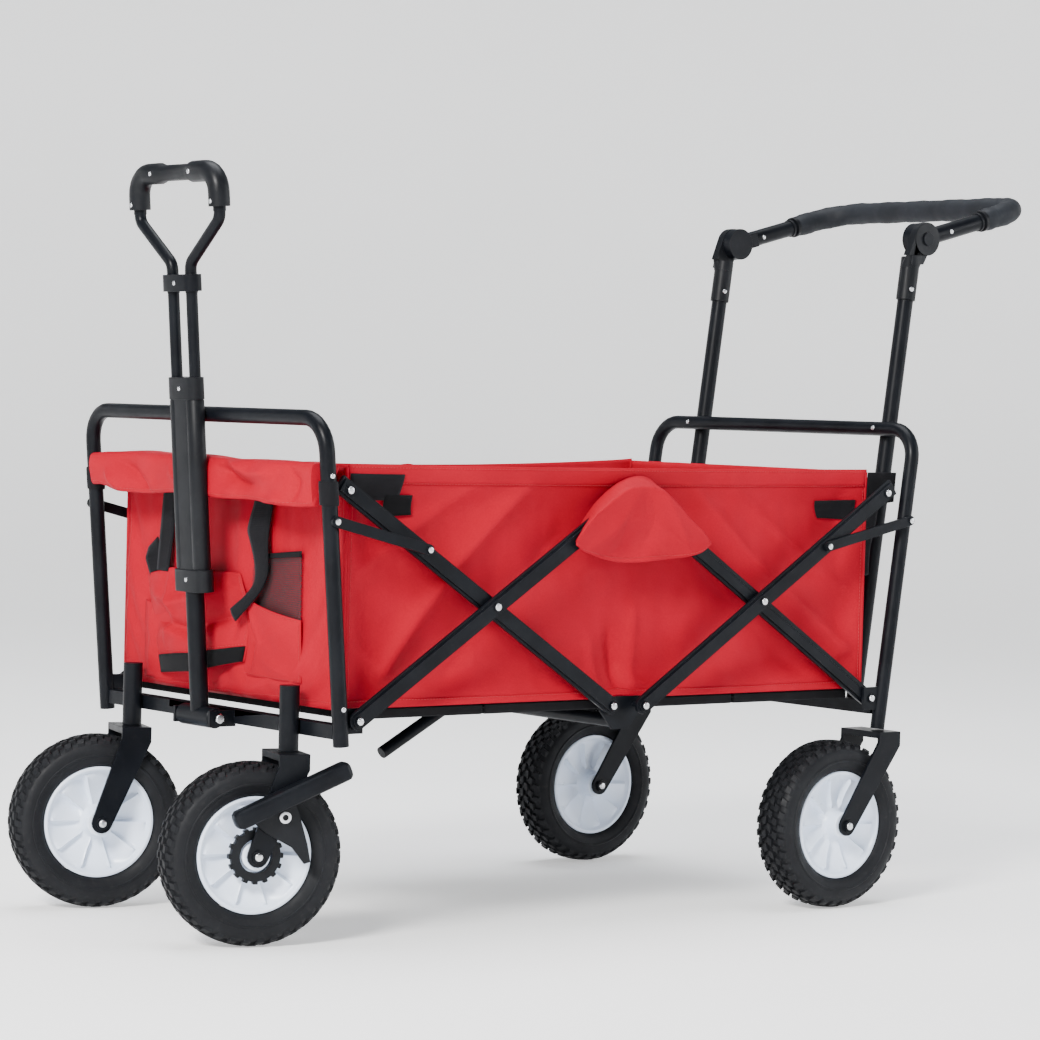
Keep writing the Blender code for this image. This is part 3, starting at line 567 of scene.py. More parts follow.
def crease(x, z, path, width):
    """How near each point is to a path: 1 on it, falling away sharply at first and then softly."""
    best = np.full(x.shape, np.inf)
    along = np.zeros(x.shape)
    total = 0.0
    for start, end in zip(path, path[1:]):
        start, end = np.array(start, float), np.array(end, float)
        length = np.linalg.norm(end - start)
        ahead = (end - start) / length
        t = np.clip((x - start[0]) * ahead[0] + (z - start[1]) * ahead[1], 0.0, length)
        gap = np.hypot(x - start[0] - ahead[0] * t, z - start[1] - ahead[1] * t)
        along = np.where(gap < best, total + t, along)
        best = np.minimum(best, gap)
        total += length
    fade = smooth_step((along + 0.006) / 0.04) * smooth_step((total + 0.006 - along) / 0.04)
    core = 0.25 * width
    return np.exp((core - np.sqrt(best**2 + core**2)) / width) * fade


def creased(x, z, table):
    """The sum of all the creases in a table of (path, width, height)."""
    total = np.zeros(x.shape)
    for path, width, height in table:
        total += height * crease(x, z, path, width)
    return total


def rough(shape, seed, smoothing):
    """Soft random unevenness, from about -1 to 1."""
    generator = np.random.default_rng(seed)
    field = generator.standard_normal(shape)
    for _ in range(smoothing):
        field = (field + np.roll(field, 1, 0) + np.roll(field, -1, 0) + np.roll(field, 1, 1)
                 + np.roll(field, -1, 1)) / 5
    return field / np.abs(field).max()


FOLDING = []


def folds(obj):
    """Hangs the piece on the rear frame and adds it to FOLDING, whose pieces later get their own mesh."""
    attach(obj, "rear_frame")
    FOLDING.append(obj)


# ---------------------------------------------------------------- basket sides

SIDE_LENGTH = 0.7730
SIDE_HEIGHT = 0.2680
SIDE_LOW = 0.2635
SIDE_Y = 0.2262
SIDE_SLACK = 0.0125
SETTLED_SHARE = 0.45
NEAR_SAG = 0.0015
FAR_SAG = 0.0110
# The plane that the cloth comes near and doesn't pass, and the depth before it over which it is held back.
SIDE_LIMIT = 0.2272
SIDE_EASE = 0.003
SIDE_CREASES = (
    (((-0.108, 0.533), (-0.235, 0.420), (-0.350, 0.283)), 0.013, 0.0120),
    (((-0.070, 0.470), (-0.180, 0.360), (-0.260, 0.272)), 0.011, -0.0035),
    (((-0.190, 0.520), (-0.300, 0.455), (-0.386, 0.400)), 0.012, 0.0060),
    (((-0.290, 0.510), (-0.386, 0.470)), 0.014, -0.0040),
    (((-0.386, 0.345), (-0.330, 0.300), (-0.250, 0.272)), 0.014, 0.0045),
    (((0.082, 0.533), (0.205, 0.424), (0.384, 0.296)), 0.013, 0.0120),
    (((0.120, 0.420), (0.200, 0.360), (0.300, 0.275)), 0.011, -0.0035),
    (((0.150, 0.525), (0.270, 0.440), (0.384, 0.372)), 0.011, 0.0065),
    (((0.230, 0.530), (0.384, 0.450)), 0.015, -0.0035),
    (((0.384, 0.330), (0.345, 0.300), (0.290, 0.268)), 0.012, 0.0040),
    (((-0.140, 0.440), (-0.120, 0.340), (-0.125, 0.270)), 0.022, 0.0035),
    (((0.110, 0.390), (0.100, 0.270)), 0.020, 0.0035),
)
NOTCH_CREASES = (
    (((0.002, 0.262), (0.006, 0.300), (-0.006, 0.352)), 0.0070, -0.0100),
    (((0.022, 0.262), (0.030, 0.310), (0.029, 0.385)), 0.0090, 0.0060),
    (((-0.022, 0.262), (-0.030, 0.300), (-0.040, 0.350)), 0.0090, 0.0050),
    (((0.008, 0.290), (0.045, 0.276), (0.085, 0.268)), 0.0070, 0.0035),
)


def side_cloth(side, seed):
    """One long side: creased from the top middle to both lower corners, taut along the rim."""
    u, v = unit_grid(171, 61)
    x = FRONT_EDGE + SIDE_LENGTH * u
    sag = (NEAR_SAG if side < 0 else FAR_SAG) * np.sin(u * math.pi) ** 0.8
    z = SIDE_LOW + (SIDE_HEIGHT - sag) * v
    z = z + 0.0025 * np.exp(-(((x - 0.002) / 0.016) ** 2)) * (1 - v) ** 5
    drawn = SIDE_Y - 0.0012 - 0.0022 * (rough(u.shape, seed, 60) + 1.0)
    points = settle(np.stack([x, side * drawn, z], axis=2), 0.004, 36, 6.0)
    depth = drawn + SETTLED_SHARE * (side * points[:, :, 1] - drawn)
    x, z = points[:, :, 0], points[:, :, 2]
    ends = smooth_step(u / 0.05) * smooth_step((1 - u) / 0.05)
    margin = ends * smooth_step(v / 0.16) * smooth_step((1 - v) / 0.20)
    belly = np.sin(u * math.pi) * np.sin(v * math.pi)
    push = creased(x, z, SIDE_CREASES) + 0.0020 * rough(u.shape, seed + 1, 40) + 0.0030 * belly
    depth = (depth - SIDE_SLACK + push) * margin + (SIDE_Y - 0.0006) * (1 - margin)
    notch = np.exp(-((x / 0.06) ** 2)) * smooth_step(v / 0.04) * smooth_step((0.5 - v) / 0.3)
    depth = depth - 0.0040 * notch + creased(x, z, NOTCH_CREASES) * smooth_step(v / 0.05)
    knee = SIDE_LIMIT - SIDE_EASE
    over = np.maximum(depth - knee, 0.0)
    points[:, :, 1] = side * (np.minimum(depth, knee) + SIDE_EASE * np.tanh(over / SIDE_EASE))
    return Cloth(points, (SIDE_LENGTH, SIDE_HEIGHT), (0, side, 0))


SIDE_TABS = (
    ("front_tab", rectangle(-0.3860, -0.3120, 0.4930, 0.5215), WEBBING, 0.0018, (14, 6)),
    ("front_tab_end", [(-0.3300, 0.4740), (-0.2950, 0.4760), (-0.2955, 0.4990), (-0.3300, 0.4990)],
     FLEECE, 0.0026, (8, 6)),
    ("rear_tab", [(0.3180, 0.4720), (0.3700, 0.4700), (0.3700, 0.4945), (0.3130, 0.4935)],
     WEBBING, 0.0018, (12, 6)),
)

for side_name, side in SIDES:
    cloth = side_cloth(side, 11 if side < 0 else 29)
    wall = cloth.make(f"side_cloth_{side_name}", RED)
    parts = []
    length, height = cloth.size
    for name, low, high in (("rim_band", height - 0.022, height), ("lower_hem", 0.0, 0.010)):
        corners = rectangle(0.001, length - 0.001, low, high)
        parts.append(quad_patch(f"side_{name}_{side_name}", cloth, corners, RED, 0.0007, 0.0008, (130, 4)))
    seams = [[(0.004, z), (length - 0.004, z)] for z in (height - 0.0200, height - 0.0030, 0.0082)]
    seams += [[(x, 0.012), (x, height - 0.024)] for x in (0.0060, length - 0.0060)]
    parts.append(stitches(f"side_stitches_{side_name}", cloth, seams, 0.0013))
    for name, places, material, lift, cells in SIDE_TABS:
        corners = [(x - FRONT_EDGE, z - SIDE_LOW) for x, z in places]
        parts.append(quad_patch(f"{name}_{side_name}", cloth, corners, material, lift, 0.0014, cells))
    for piece in [wall] + parts:
        folds(piece)
    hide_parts(f"basket_side_{side_name}")


# ---------------------------------------------------------------- flaps over the top links

# The top links' height and half length, and the slope and half width of the bars that the flaps hang over.
LINK_Z = 0.4918
LINK_HALF = 0.0196
BAR_SLOPE = 0.6587
BAR_HALF = 0.0145
FLAP_LOW_X = -0.0950
FLAP_HIGH_X = 0.1150
# The flap's distance from the middle of the wagon, where it is sewn on and where it hangs over the bars.
FLAP_IN = 0.2284
FLAP_OUT = 0.2590
FLAP_CREASES = (
    (((0.022, 0.520), (0.052, 0.478), (0.080, 0.432)), 0.0100, 0.0032),
    (((0.010, 0.518), (0.018, 0.470), (0.010, 0.424)), 0.0140, -0.0030),
    (((0.004, 0.512), (-0.030, 0.466), (-0.050, 0.430)), 0.0110, 0.0022),
)


def flap_grid(side):
    """A scalloped flap: its upper edge is an upturned V, its lower edge hangs clear of the bars."""
    s, t = unit_grid(91, 41)
    x = FLAP_LOW_X + (FLAP_HIGH_X - FLAP_LOW_X) * s
    edge_x = [-0.0950, -0.0800, -0.0600, -0.0400, -0.0220, -0.0040,
              0.0100, 0.0220, 0.0360, 0.0600, 0.0900, 0.1150]
    edge_z = [0.4520, 0.4710, 0.4895, 0.5030, 0.5125, 0.5185,
              0.5210, 0.5212, 0.5175, 0.5000, 0.4710, 0.4450]
    top = smoothed(np.interp(x, edge_x, edge_z), 6)
    hem_x = (x - 0.007) / 0.109
    hem = 0.4215 + 0.0185 * np.abs(hem_x) ** 1.8 + 0.0010 * np.sin(x * 62.0)
    hem = hem + 0.0060 * smooth_step((np.abs(hem_x) - 0.78) / 0.22)
    top = np.maximum(top, hem + 0.003)
    z = top + (hem - top) * t**1.15
    fall = BAR_SLOPE * np.maximum(np.abs(x) - LINK_HALF, 0.0)
    reach = np.clip(top - (LINK_Z + BAR_HALF - fall) - 0.0005, 0.0080, 0.0160)
    out = smooth_step((top - z + 0.0006) / reach)
    tuck = 0.0110 * smooth_step((LINK_Z - BAR_HALF - fall - z - 0.002) / 0.034)
    wave = 0.0014 * np.sin(x * 44.0 + 0.6) * t + 0.0012 * np.sin(x * 95.0 - 1.0) * t * t
    wave = wave + creased(x, z, FLAP_CREASES)
    depth = FLAP_IN + (FLAP_OUT - FLAP_IN) * out + (np.maximum(wave, -0.0012) - tuck) * out
    x = x + 0.0230 * (1 - out) * (1 - s) ** 2
    return np.stack([x, side * depth, z], axis=2)


for side_name, side in SIDES:
    cloth = Cloth(flap_grid(side), (0.236, 0.088), (0, side, 0))
    flap = cloth.make(f"flap_{side_name}", RED, 0.0011)
    rows = stitches(f"flap_stitches_{side_name}", cloth, [[(0.012, 0.0835), (0.224, 0.0835)]], 0.0008)
    for piece in (flap, rows):
        folds(piece)
    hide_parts(f"basket_flap_{side_name}")


# ---------------------------------------------------------------- floor and rear of the basket

# The board's front edge, the length of one of its four panels, and half the gap between two panels.
BOARD_LOW_X = -0.3760
BOARD_PANEL = 0.18625
PANEL_GAP = 0.0015
# The floor cloth's length and half width, and the channels as shares of its length.
FLOOR_LENGTH = 0.767
FLOOR_HALF = 0.2248
CHANNELS = (0.25, 0.50, 0.75)


def floor_cloth():
    """The floor of the basket, with a sewn channel over each hinge of the board."""
    u, v = unit_grid(97, 57)
    height = 0.2672 + 0.0016 * rough(u.shape, 5, 30)
    for line in CHANNELS:
        height = height - 0.0030 * np.exp(-(((u - line) / 0.006) ** 2))
    points = np.stack([FRONT_EDGE + 0.001 + FLOOR_LENGTH * u, FLOOR_HALF * (2 * v - 1), height], axis=2)
    return Cloth(points, (FLOOR_LENGTH, 0.450), (0, 0, 1))


cloth = floor_cloth()
floor_piece = cloth.make("floor_cloth", RED)
seams = []
for line in CHANNELS:
    for x in (FLOOR_LENGTH * line - 0.006, FLOOR_LENGTH * line + 0.006):
        seams.append([(x, 0.006), (x, 0.439)])
rows = stitches("floor_stitches", cloth, seams, 0.0008)
for piece in (floor_piece, rows):
    folds(piece)
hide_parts("basket_floor")
board = Pile()
for panel in range(4):
    start = BOARD_LOW_X + panel * BOARD_PANEL + PANEL_GAP
    end = BOARD_LOW_X + (panel + 1) * BOARD_PANEL - PANEL_GAP
    board.add(*block((start, -0.2195, 0.2510), (end, 0.2195, 0.2622), 0.0012))
start, end = BOARD_LOW_X + 0.004, BOARD_LOW_X + 4 * BOARD_PANEL - 0.004
board.add(*block((start, -0.2190, 0.2575), (end, 0.2190, 0.2590)))
board_points = np.concatenate(board.points)
board_piece = make_object("floor_board_panels", board_points, board.faces, BLACK_CLOTH, board_points[:, :2],
                          30.0)
folds(board_piece)
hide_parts("floor_board")


PIPING_RADIUS = 0.0028
PIPING_STEPS = 12
END_HALF = 0.2225


def corner_piping(end_name, x, side_name, side):
    """A round cloth edging that closes an upright corner of the basket."""
    corner = [Vector((x, side * 0.2243, 0.2640 + 0.0044 * step)) for step in range(61)]
    points, faces = tube(corner, PIPING_RADIUS, PIPING_STEPS)
    around = PIPING_RADIUS * 2 * math.pi * (np.arange(len(points)) % PIPING_STEPS) / PIPING_STEPS
    flat = np.stack([around, points[:, 2]], axis=1)
    return make_object(f"{end_name}_corner_piping_{side_name}", points, faces, RED, flat, 50.0)


def end_cloth(x, out, low, height, seed):
    """A plain, slightly slack panel across one end of the basket; out is -1 at the front, 1 at the rear."""
    u, v = unit_grid(71, 43)
    middle = np.sin(u * math.pi) * np.sin(v * math.pi)
    depth = x + 0.0010 * rough(u.shape, seed, 40) + out * 0.0020 * middle
    points = np.stack([depth, out * END_HALF * (2 * u - 1), low + height * v], axis=2)
    return Cloth(settle(points, 0.010, 30, 4.0), (2 * END_HALF, height), (out, 0, 0))


cloth = end_cloth(0.3822, 1, 0.2620, 0.2670, 41)
rear_piece = cloth.make("rear_panel_cloth", RED)
parts = []
for name, low, high in (("rear_rim_band", 0.245, 0.267), ("rear_lower_hem", 0.0, 0.010)):
    parts.append(quad_patch(name, cloth, rectangle(0.001, 0.444, low, high), RED, 0.0008, 0.0008, (70, 4)))
seams = [[(0.004, z), (0.441, z)] for z in (0.2470, 0.2640, 0.0082)]
parts.append(stitches("rear_stitches", cloth, seams, 0.0014))
for index, centre in enumerate((0.060, 0.385)):
    corners = rectangle(centre - 0.0125, centre + 0.0125, 0.140, 0.262)
    parts.append(quad_patch(f"rear_strap_{index}", cloth, corners, WEBBING, 0.0030, 0.0014, (5, 20), 0.006))
for piece in [rear_piece] + parts:
    folds(piece)
for side_name, side in SIDES:
    s, t = unit_grid(17, 13)
    x = 0.3830 + 0.0440 * s + 0.0030 * t
    y = side * (0.2272 + 0.0030 * s + 0.0012 * np.sin(s * 9.0 + t * 5.0) * np.sin(s * math.pi))
    z = 0.4860 + 0.0060 * s + (0.0420 - 0.0060 * s) * t
    patch = Cloth(np.stack([x, y, z], axis=2), (0.046, 0.042), (0, side, 0))
    corner_patch = patch.make(f"rear_corner_patch_{side_name}", BLACK_CLOTH, 0.0014)
    s, t = unit_grid(21, 6)
    x = 0.3840 + 0.0030 * s + (0.0240 - 0.0120 * s) * t
    y = side * (0.2235 - 0.0060 * s + 0.0020 * np.sin(s * 7.0))
    z = 0.4950 - 0.0960 * s + 0.0030 * t
    hanging = Cloth(np.stack([x, y, z], axis=2), (0.096, 0.024), (0, side, 0))
    hanging_strap = hanging.make(f"rear_hanging_strap_{side_name}", WEBBING, 0.0014)
    for piece in (corner_patch, hanging_strap):
        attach(piece, "rear_frame")
        parts.append(piece)
for side_name, side in SIDES:
    edging = corner_piping("rear", 0.3838, side_name, side)
    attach(edging, "rear_frame")
    parts.append(edging)
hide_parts("basket_rear_panel")


# ---------------------------------------------------------------- front panel, pockets and cuff

FRONT_LOW = 0.2615
PANEL_FACE_X = -0.3935
FRONT = end_cloth(-0.3912, -1, FRONT_LOW, 0.2660, 71)


def on_front(y, z):
    """Flat distances on the front panel of a place given by y and z."""
    return (END_HALF - y, z - FRONT_LOW)


def pocket(name, outline, material, shape, size, cells=(40, 30), lobe=0.0):
    """A soft piece in front of the panel; shape(s, t) gives its distance in front, s across and t up."""
    s, t = unit_grid(*cells)
    bottom, top = outline
    y = (1 - t) * np.interp(s, *bottom[0]) + t * np.interp(s, *top[0])
    z = (1 - t) * np.interp(s, *bottom[1]) + t * np.interp(s, *top[1])
    y = y - lobe * s**3 * np.sin(t * math.pi)
    cloth = Cloth(np.stack([PANEL_FACE_X - shape(s, t), y, z], axis=2), size, (-1, 0, 0))
    return cloth, cloth.make(name, material, 0.0010)


front_parts = []
front_piece = FRONT.make("front_panel_cloth", RED)
seams = [
    [on_front(0.2170, 0.266), on_front(0.2170, 0.520)],
    [on_front(-0.2170, 0.266), on_front(-0.2170, 0.520)],
    [on_front(0.2170, 0.2690), on_front(-0.2170, 0.2690)],
]
front_parts.append(stitches("front_stitches", FRONT, seams))


COVER_CREASE_GAIN = 1.6
COVER_CREASES = (
    (((0.000, 0.094), (0.060, 0.074), (0.150, 0.090)), 0.0090, 0.0060),
    (((0.006, 0.066), (0.075, 0.044), (0.168, 0.062)), 0.0080, -0.0070),
    (((0.020, 0.026), (0.058, 0.062), (0.050, 0.112)), 0.0080, 0.0045),
    (((0.130, 0.024), (0.104, 0.062), (0.136, 0.112)), 0.0080, 0.0050),
    (((0.152, 0.022), (0.158, 0.080)), 0.0060, -0.0040),
    (((0.000, 0.040), (0.030, 0.050), (0.090, 0.028)), 0.0070, 0.0035),
)


def cover_shape(s, t):
    """A slack cover: full in the middle, with soft folds above the band."""
    body = 0.0040 + 0.0150 * np.sin(s * math.pi) ** 0.7 * (0.35 + 0.65 * (1 - t) ** 0.8)
    free = smooth_step((t - 0.14) / 0.14)
    wrinkles = COVER_CREASE_GAIN * creased(s * 0.174, t * 0.112, COVER_CREASES)
    wrinkles = wrinkles + 0.0018 * rough(s.shape, 77, 14)
    return np.maximum(body + wrinkles * free, 0.002)


outline = (
    (([0.0, 1.0], [0.1290, -0.0440]), ([0.0, 0.5, 1.0], [0.2760, 0.2840, 0.3020])),
    (([0.0, 1.0], [0.1660, -0.0300]), ([0.0, 0.3, 0.7, 1.0], [0.3900, 0.4010, 0.4020, 0.4020])),
)
COVER, cover_piece = pocket("pocket_cover", outline, RED, cover_shape, (0.176, 0.112), (70, 50), 0.0150)
band = quad_patch("pocket_cover_band", COVER, rectangle(0.002, 0.174, 0.001, 0.021), FLEECE, 0.0012, 0.0016,
                  (40, 5))
seams = [
    [(0.004, 0.0235), (0.172, 0.0235)],
    [(0.003, 0.028), (0.003, 0.108)],
    [(0.173, 0.028), (0.173, 0.108)],
]
cover_rows = stitches("pocket_cover_stitches", COVER, seams, 0.0010)


def left_pocket_shape(s, t):
    body = 0.0020 + 0.0080 * np.sin(s * math.pi) * (0.3 + 0.7 * t)
    table = (
        (((0.010, 0.000), (0.022, 0.045), (0.012, 0.088)), 0.0080, 0.0060),
        (((0.040, 0.010), (0.034, 0.060)), 0.0070, -0.0040),
    )
    return np.maximum(body + creased(s * 0.178, t * 0.088, table), 0.0015)


outline = (
    (([0.0, 1.0], [0.1700, -0.0080]), ([0.0, 1.0], [0.2700, 0.2730])),
    (([0.0, 1.0], [0.1720, -0.0060]), ([0.0, 0.5, 1.0], [0.3600, 0.3480, 0.3620])),
)
_, left_pocket_piece = pocket("left_pocket", outline, RED, left_pocket_shape, (0.180, 0.088))


def right_pocket_shape(s, t):
    body = 0.0022 + 0.0120 * np.sin(s * math.pi) ** 0.8 * (0.25 + 0.75 * t)
    table = (
        (((0.000, 0.082), (0.034, 0.040), (0.012, 0.004)), 0.0060, -0.0075),
        (((0.012, 0.084), (0.046, 0.040), (0.022, 0.002)), 0.0060, 0.0060),
        (((0.046, 0.040), (0.112, 0.076)), 0.0100, 0.0035),
        (((0.040, 0.020), (0.110, 0.006)), 0.0080, 0.0030),
    )
    return np.maximum(body + creased(s * 0.120, t * 0.082, table), 0.0018)


outline = (
    (([0.0, 1.0], [-0.0380, -0.1560]), ([0.0, 1.0], [0.2870, 0.2860])),
    (([0.0, 0.10, 1.0], [-0.0380, -0.0500, -0.1530]),
     ([0.0, 0.10, 0.35, 1.0], [0.3660, 0.3780, 0.3700, 0.3560])),
)
RIGHT_POCKET, right_pocket_piece = pocket("right_pocket", outline, RED, right_pocket_shape, (0.122, 0.082))
seams = [
    [(0.002, 0.003), (0.120, 0.003)],
    [(0.119, 0.006), (0.119, 0.078)],
    [(0.004, 0.0790), (0.118, 0.0790)],
]
right_rows = stitches("right_pocket_stitches", RIGHT_POCKET, seams, 0.0010)


def net_shape(s, t):
    return 0.0020 + 0.0050 * np.sin(s * math.pi) * (1.0 - 0.75 * t)


outline = (
    (([0.0, 1.0], [-0.0500, -0.1520]), ([0.0, 1.0], [0.3600, 0.3480])),
    (([0.0, 1.0], [-0.0560, -0.1500]), ([0.0, 1.0], [0.4240, 0.4330])),
)
NET_WINDOW, net_piece = pocket("net_window", outline, NET, net_shape, (0.100, 0.075))
net_band = quad_patch("net_binding", NET_WINDOW, rectangle(0.0, 0.100, 0.0690, 0.0750), BLACK_CLOTH,
                      0.0006, 0.0016, (30, 3))


def strap(name, path, width, twist):
    """A webbing strap along a path of (x, y, z); twist is its turn in degrees from facing front."""
    path = np.array(path)
    lengths = distances(path)
    at = np.linspace(0, lengths[-1], max(12, int(lengths[-1] / 0.004)))
    centre = smoothed(resampled(path, lengths, at), 4)
    turns = np.interp(at, lengths, np.radians(twist))[:, None]
    along = np.gradient(centre, axis=0)
    along /= np.linalg.norm(along, axis=1, keepdims=True)
    side = np.cross(along, (-1.0, 0.0, 0.0))
    side /= np.linalg.norm(side, axis=1, keepdims=True)
    across = side * np.cos(turns) + np.cross(side, along) * np.sin(turns)
    offsets = np.linspace(-width / 2, width / 2, 6)
    points = centre[:, None, :] + across[:, None, :] * offsets[None, :, None]
    return Cloth(points, (lengths[-1], width), (-1, 0, 0)).make(name, WEBBING, 0.0014)


def ribbon(name, stations, size):
    """A webbing strap given by stations of (left y, left z, right y, right z, x), from its top to its end."""
    stations = np.array(stations)
    place = np.linspace(0, len(stations) - 1, 46)
    rows = smoothed(resampled(stations, range(len(stations)), place), 3)
    left_y, left_z, right_y, right_z, x = rows.T[:, :, None]
    s = np.linspace(0, 1, 7)[None, :]
    points = np.stack([
        x - 0.0012 * np.sin(s * math.pi),
        left_y * (1 - s) + right_y * s,
        left_z * (1 - s) + right_z * s,
    ], axis=2)
    return Cloth(points, size, (-1, 0, 0)).make(name, WEBBING, 0.0014)


RIGHT_STRAP = (
    (-0.0585, 0.4960, -0.0945, 0.4960, -0.3965),
    (-0.0572, 0.4820, -0.0941, 0.4830, -0.3975),
    (-0.0462, 0.4520, -0.0907, 0.4530, -0.4000),
    (-0.0570, 0.4400, -0.0930, 0.4400, -0.4025),
    (-0.0680, 0.4200, -0.0955, 0.4230, -0.4035),
    (-0.0715, 0.4090, -0.0975, 0.4060, -0.4040),
    (-0.0735, 0.3927, -0.0910, 0.3900, -0.4055),
    (-0.0570, 0.3765, -0.0790, 0.3760, -0.4085),
    (-0.0450, 0.3690, -0.0650, 0.3640, -0.4105),
    (-0.0345, 0.3618, -0.0455, 0.3485, -0.4120),
)
LEFT_STRAP = ((-0.3960, 0.1235, 0.4960), (-0.3990, 0.1240, 0.4400), (-0.4030, 0.1250, 0.3960))
LOOP_STRAP = ((-0.3950, 0.1600, 0.4280), (-0.4010, 0.1500, 0.4130), (-0.3970, 0.1460, 0.3900))
straps = [
    strap("front_strap_left", LEFT_STRAP, 0.0250, [0, 6, 0]),
    strap("front_strap_loop", LOOP_STRAP, 0.0240, [0, 20, 10]),
    ribbon("front_strap_right", RIGHT_STRAP, (0.160, 0.034)),
]
front_parts += [cover_piece, band, cover_rows, left_pocket_piece, right_pocket_piece, right_rows, net_piece,
                net_band] + straps


CUFF_HALF = 0.2300
CUFF_CREASE_GAIN = 2.4
CUFF_CREASES = (
    (((0.200, 0.088), (0.165, 0.110), (0.150, 0.128)), 0.0070, 0.0045),
    (((0.185, 0.075), (0.140, 0.092), (0.095, 0.120)), 0.0080, -0.0045),
    (((0.060, 0.080), (0.030, 0.100), (0.010, 0.128)), 0.0100, 0.0030),
    (((-0.030, 0.078), (-0.085, 0.095), (-0.130, 0.098)), 0.0080, -0.0060),
    (((-0.050, 0.068), (-0.110, 0.086), (-0.170, 0.082)), 0.0080, 0.0045),
    (((-0.120, 0.128), (-0.165, 0.110), (-0.205, 0.112)), 0.0080, 0.0045),
    (((-0.180, 0.070), (-0.200, 0.092), (-0.190, 0.125)), 0.0070, -0.0040),
)


def cuff_grid():
    """The cuff: from the panel's top it goes forward to the posts, over, and down in front."""
    profile = [(-0.3930, 0.5020), (-0.3932, 0.5180), (-0.3945, 0.5290), (-0.3990, 0.5330), (-0.4100, 0.5338),
               (-0.4240, 0.5338), (-0.4330, 0.5330), (-0.4375, 0.5290), (-0.4392, 0.5200), (-0.4398, 0.5080),
               (-0.4394, 0.4960), (-0.4384, 0.4890), (-0.4362, 0.4866), (-0.4330, 0.4872), (-0.4300, 0.4920)]
    profile = np.array(profile)
    lengths = distances(profile)
    at = np.linspace(0, lengths[-1], 56)
    line = smoothed(resampled(profile, lengths, at), 2)
    s, t = np.meshgrid(np.linspace(CUFF_HALF, -CUFF_HALF, 151), at / lengths[-1], indexing="ij")
    points = np.empty((*s.shape, 3))
    points[:, :, 0] = line[None, :, 0]
    points[:, :, 1] = s
    points[:, :, 2] = line[None, :, 1]
    front = smooth_step((t - 0.42) / 0.12)
    wave = 0.0014 * np.sin(s * 31.0 + 0.5) + 0.0030 * rough(s.shape, 91, 30)
    wave = wave + CUFF_CREASE_GAIN * creased(s, t * lengths[-1], CUFF_CREASES)
    points[:, :, 0] -= front * wave * 0.9
    hang = smooth_step((t - 0.70) / 0.15)
    corner = 0.0080 * smooth_step((s - 0.17) / 0.05)
    points[:, :, 2] += hang * (0.0022 * np.sin(s * 13.0 + 1.2) + 0.0012 * np.sin(s * 41.0) + corner)
    top = np.exp(-(((t - 0.36) / 0.16) ** 2))
    points[:, :, 2] += top * (0.0018 * np.sin(s * 17.0) + 0.0012 * np.sin(s * 47.0 + 1.0) - 0.0008)
    near_end = smooth_step((np.abs(s) - 0.2060) / 0.0240)
    back = 1.0 - smooth_step((t - 0.10) / 0.25)
    points[:, :, 0] -= 0.0150 * near_end * back
    points[:, :, 2] -= 0.0045 * near_end * top
    closed = []
    for share, shift in ((0.55, 0.0006), (0.15, 0.0009), (0.0, 0.0010)):
        ends = []
        for row, sign in ((points[0], 1), (points[-1], -1)):
            centre = row.mean(0)
            shrunk = centre + (row - centre) * share
            shrunk[:, 1] = sign * (CUFF_HALF + shift)
            ends.append(shrunk)
        closed.append(ends)
    before = [ends[0] for ends in reversed(closed)]
    after = [ends[1] for ends in closed]
    points = np.concatenate([np.array(before), points, np.array(after)])
    return points, lengths[-1]


grid, across = cuff_grid()
CUFF = Cloth(grid, (0.460, across), (-1, 0, 0))
cuff_piece = CUFF.make("front_cuff", RED, 0.0010)
hem = across * 0.885
cuff_rows = stitches("front_cuff_stitches", CUFF, [[(0.004, hem), (0.456, hem)]], 0.0008)
front_parts += [corner_piping("front", -0.3894, side_name, side) for side_name, side in SIDES]
for piece in [front_piece, cuff_piece, cuff_rows] + front_parts:
    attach(piece, "front_frame")
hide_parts("basket_front_panel")
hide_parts("basket_front_cuff")


# ---------------------------------------------------------------- wheels

CASTER_TURN = math.radians(-17.0)
CASTER_STEM_X = -0.4165
CASTER_STEM_Y = 0.1640
CASTER_TRAIL = 0.0420
WHEEL_R = 0.1015
REAR_WHEEL_X = 0.3275
REAR_WHEEL_Y = 0.2371
PETALS = 10
LUGS = 38


def wheel_frame(name, side):
    """The matrix that takes a wheel drawn about the origin, its axle along Y, to its place."""
    if name == "rear":
        return Matrix.Translation((REAR_WHEEL_X, side * REAR_WHEEL_Y, WHEEL_R))
    stem = Vector((CASTER_STEM_X, side * CASTER_STEM_Y, 0.0))
    turn = Matrix.Rotation(CASTER_TURN, 4, "Z")
    return Matrix.Translation(stem) @ turn @ Matrix.Translation((-CASTER_TRAIL, 0.0, WHEEL_R))


TYRE_HALF_PROFILE = [
    (0.0652, 0.0150), (0.0655, 0.0188), (0.0668, 0.0212), (0.0700, 0.0234), (0.0740, 0.0248),
    (0.0768, 0.0256), (0.0776, 0.0266), (0.0792, 0.0268), (0.0800, 0.0259), (0.0840, 0.0262),
    (0.0880, 0.0256), (0.0912, 0.0242), (0.0938, 0.0216), (0.0956, 0.0180), (0.0968, 0.0130),
    (0.0974, 0.0070), (0.0976, 0.0000),
]


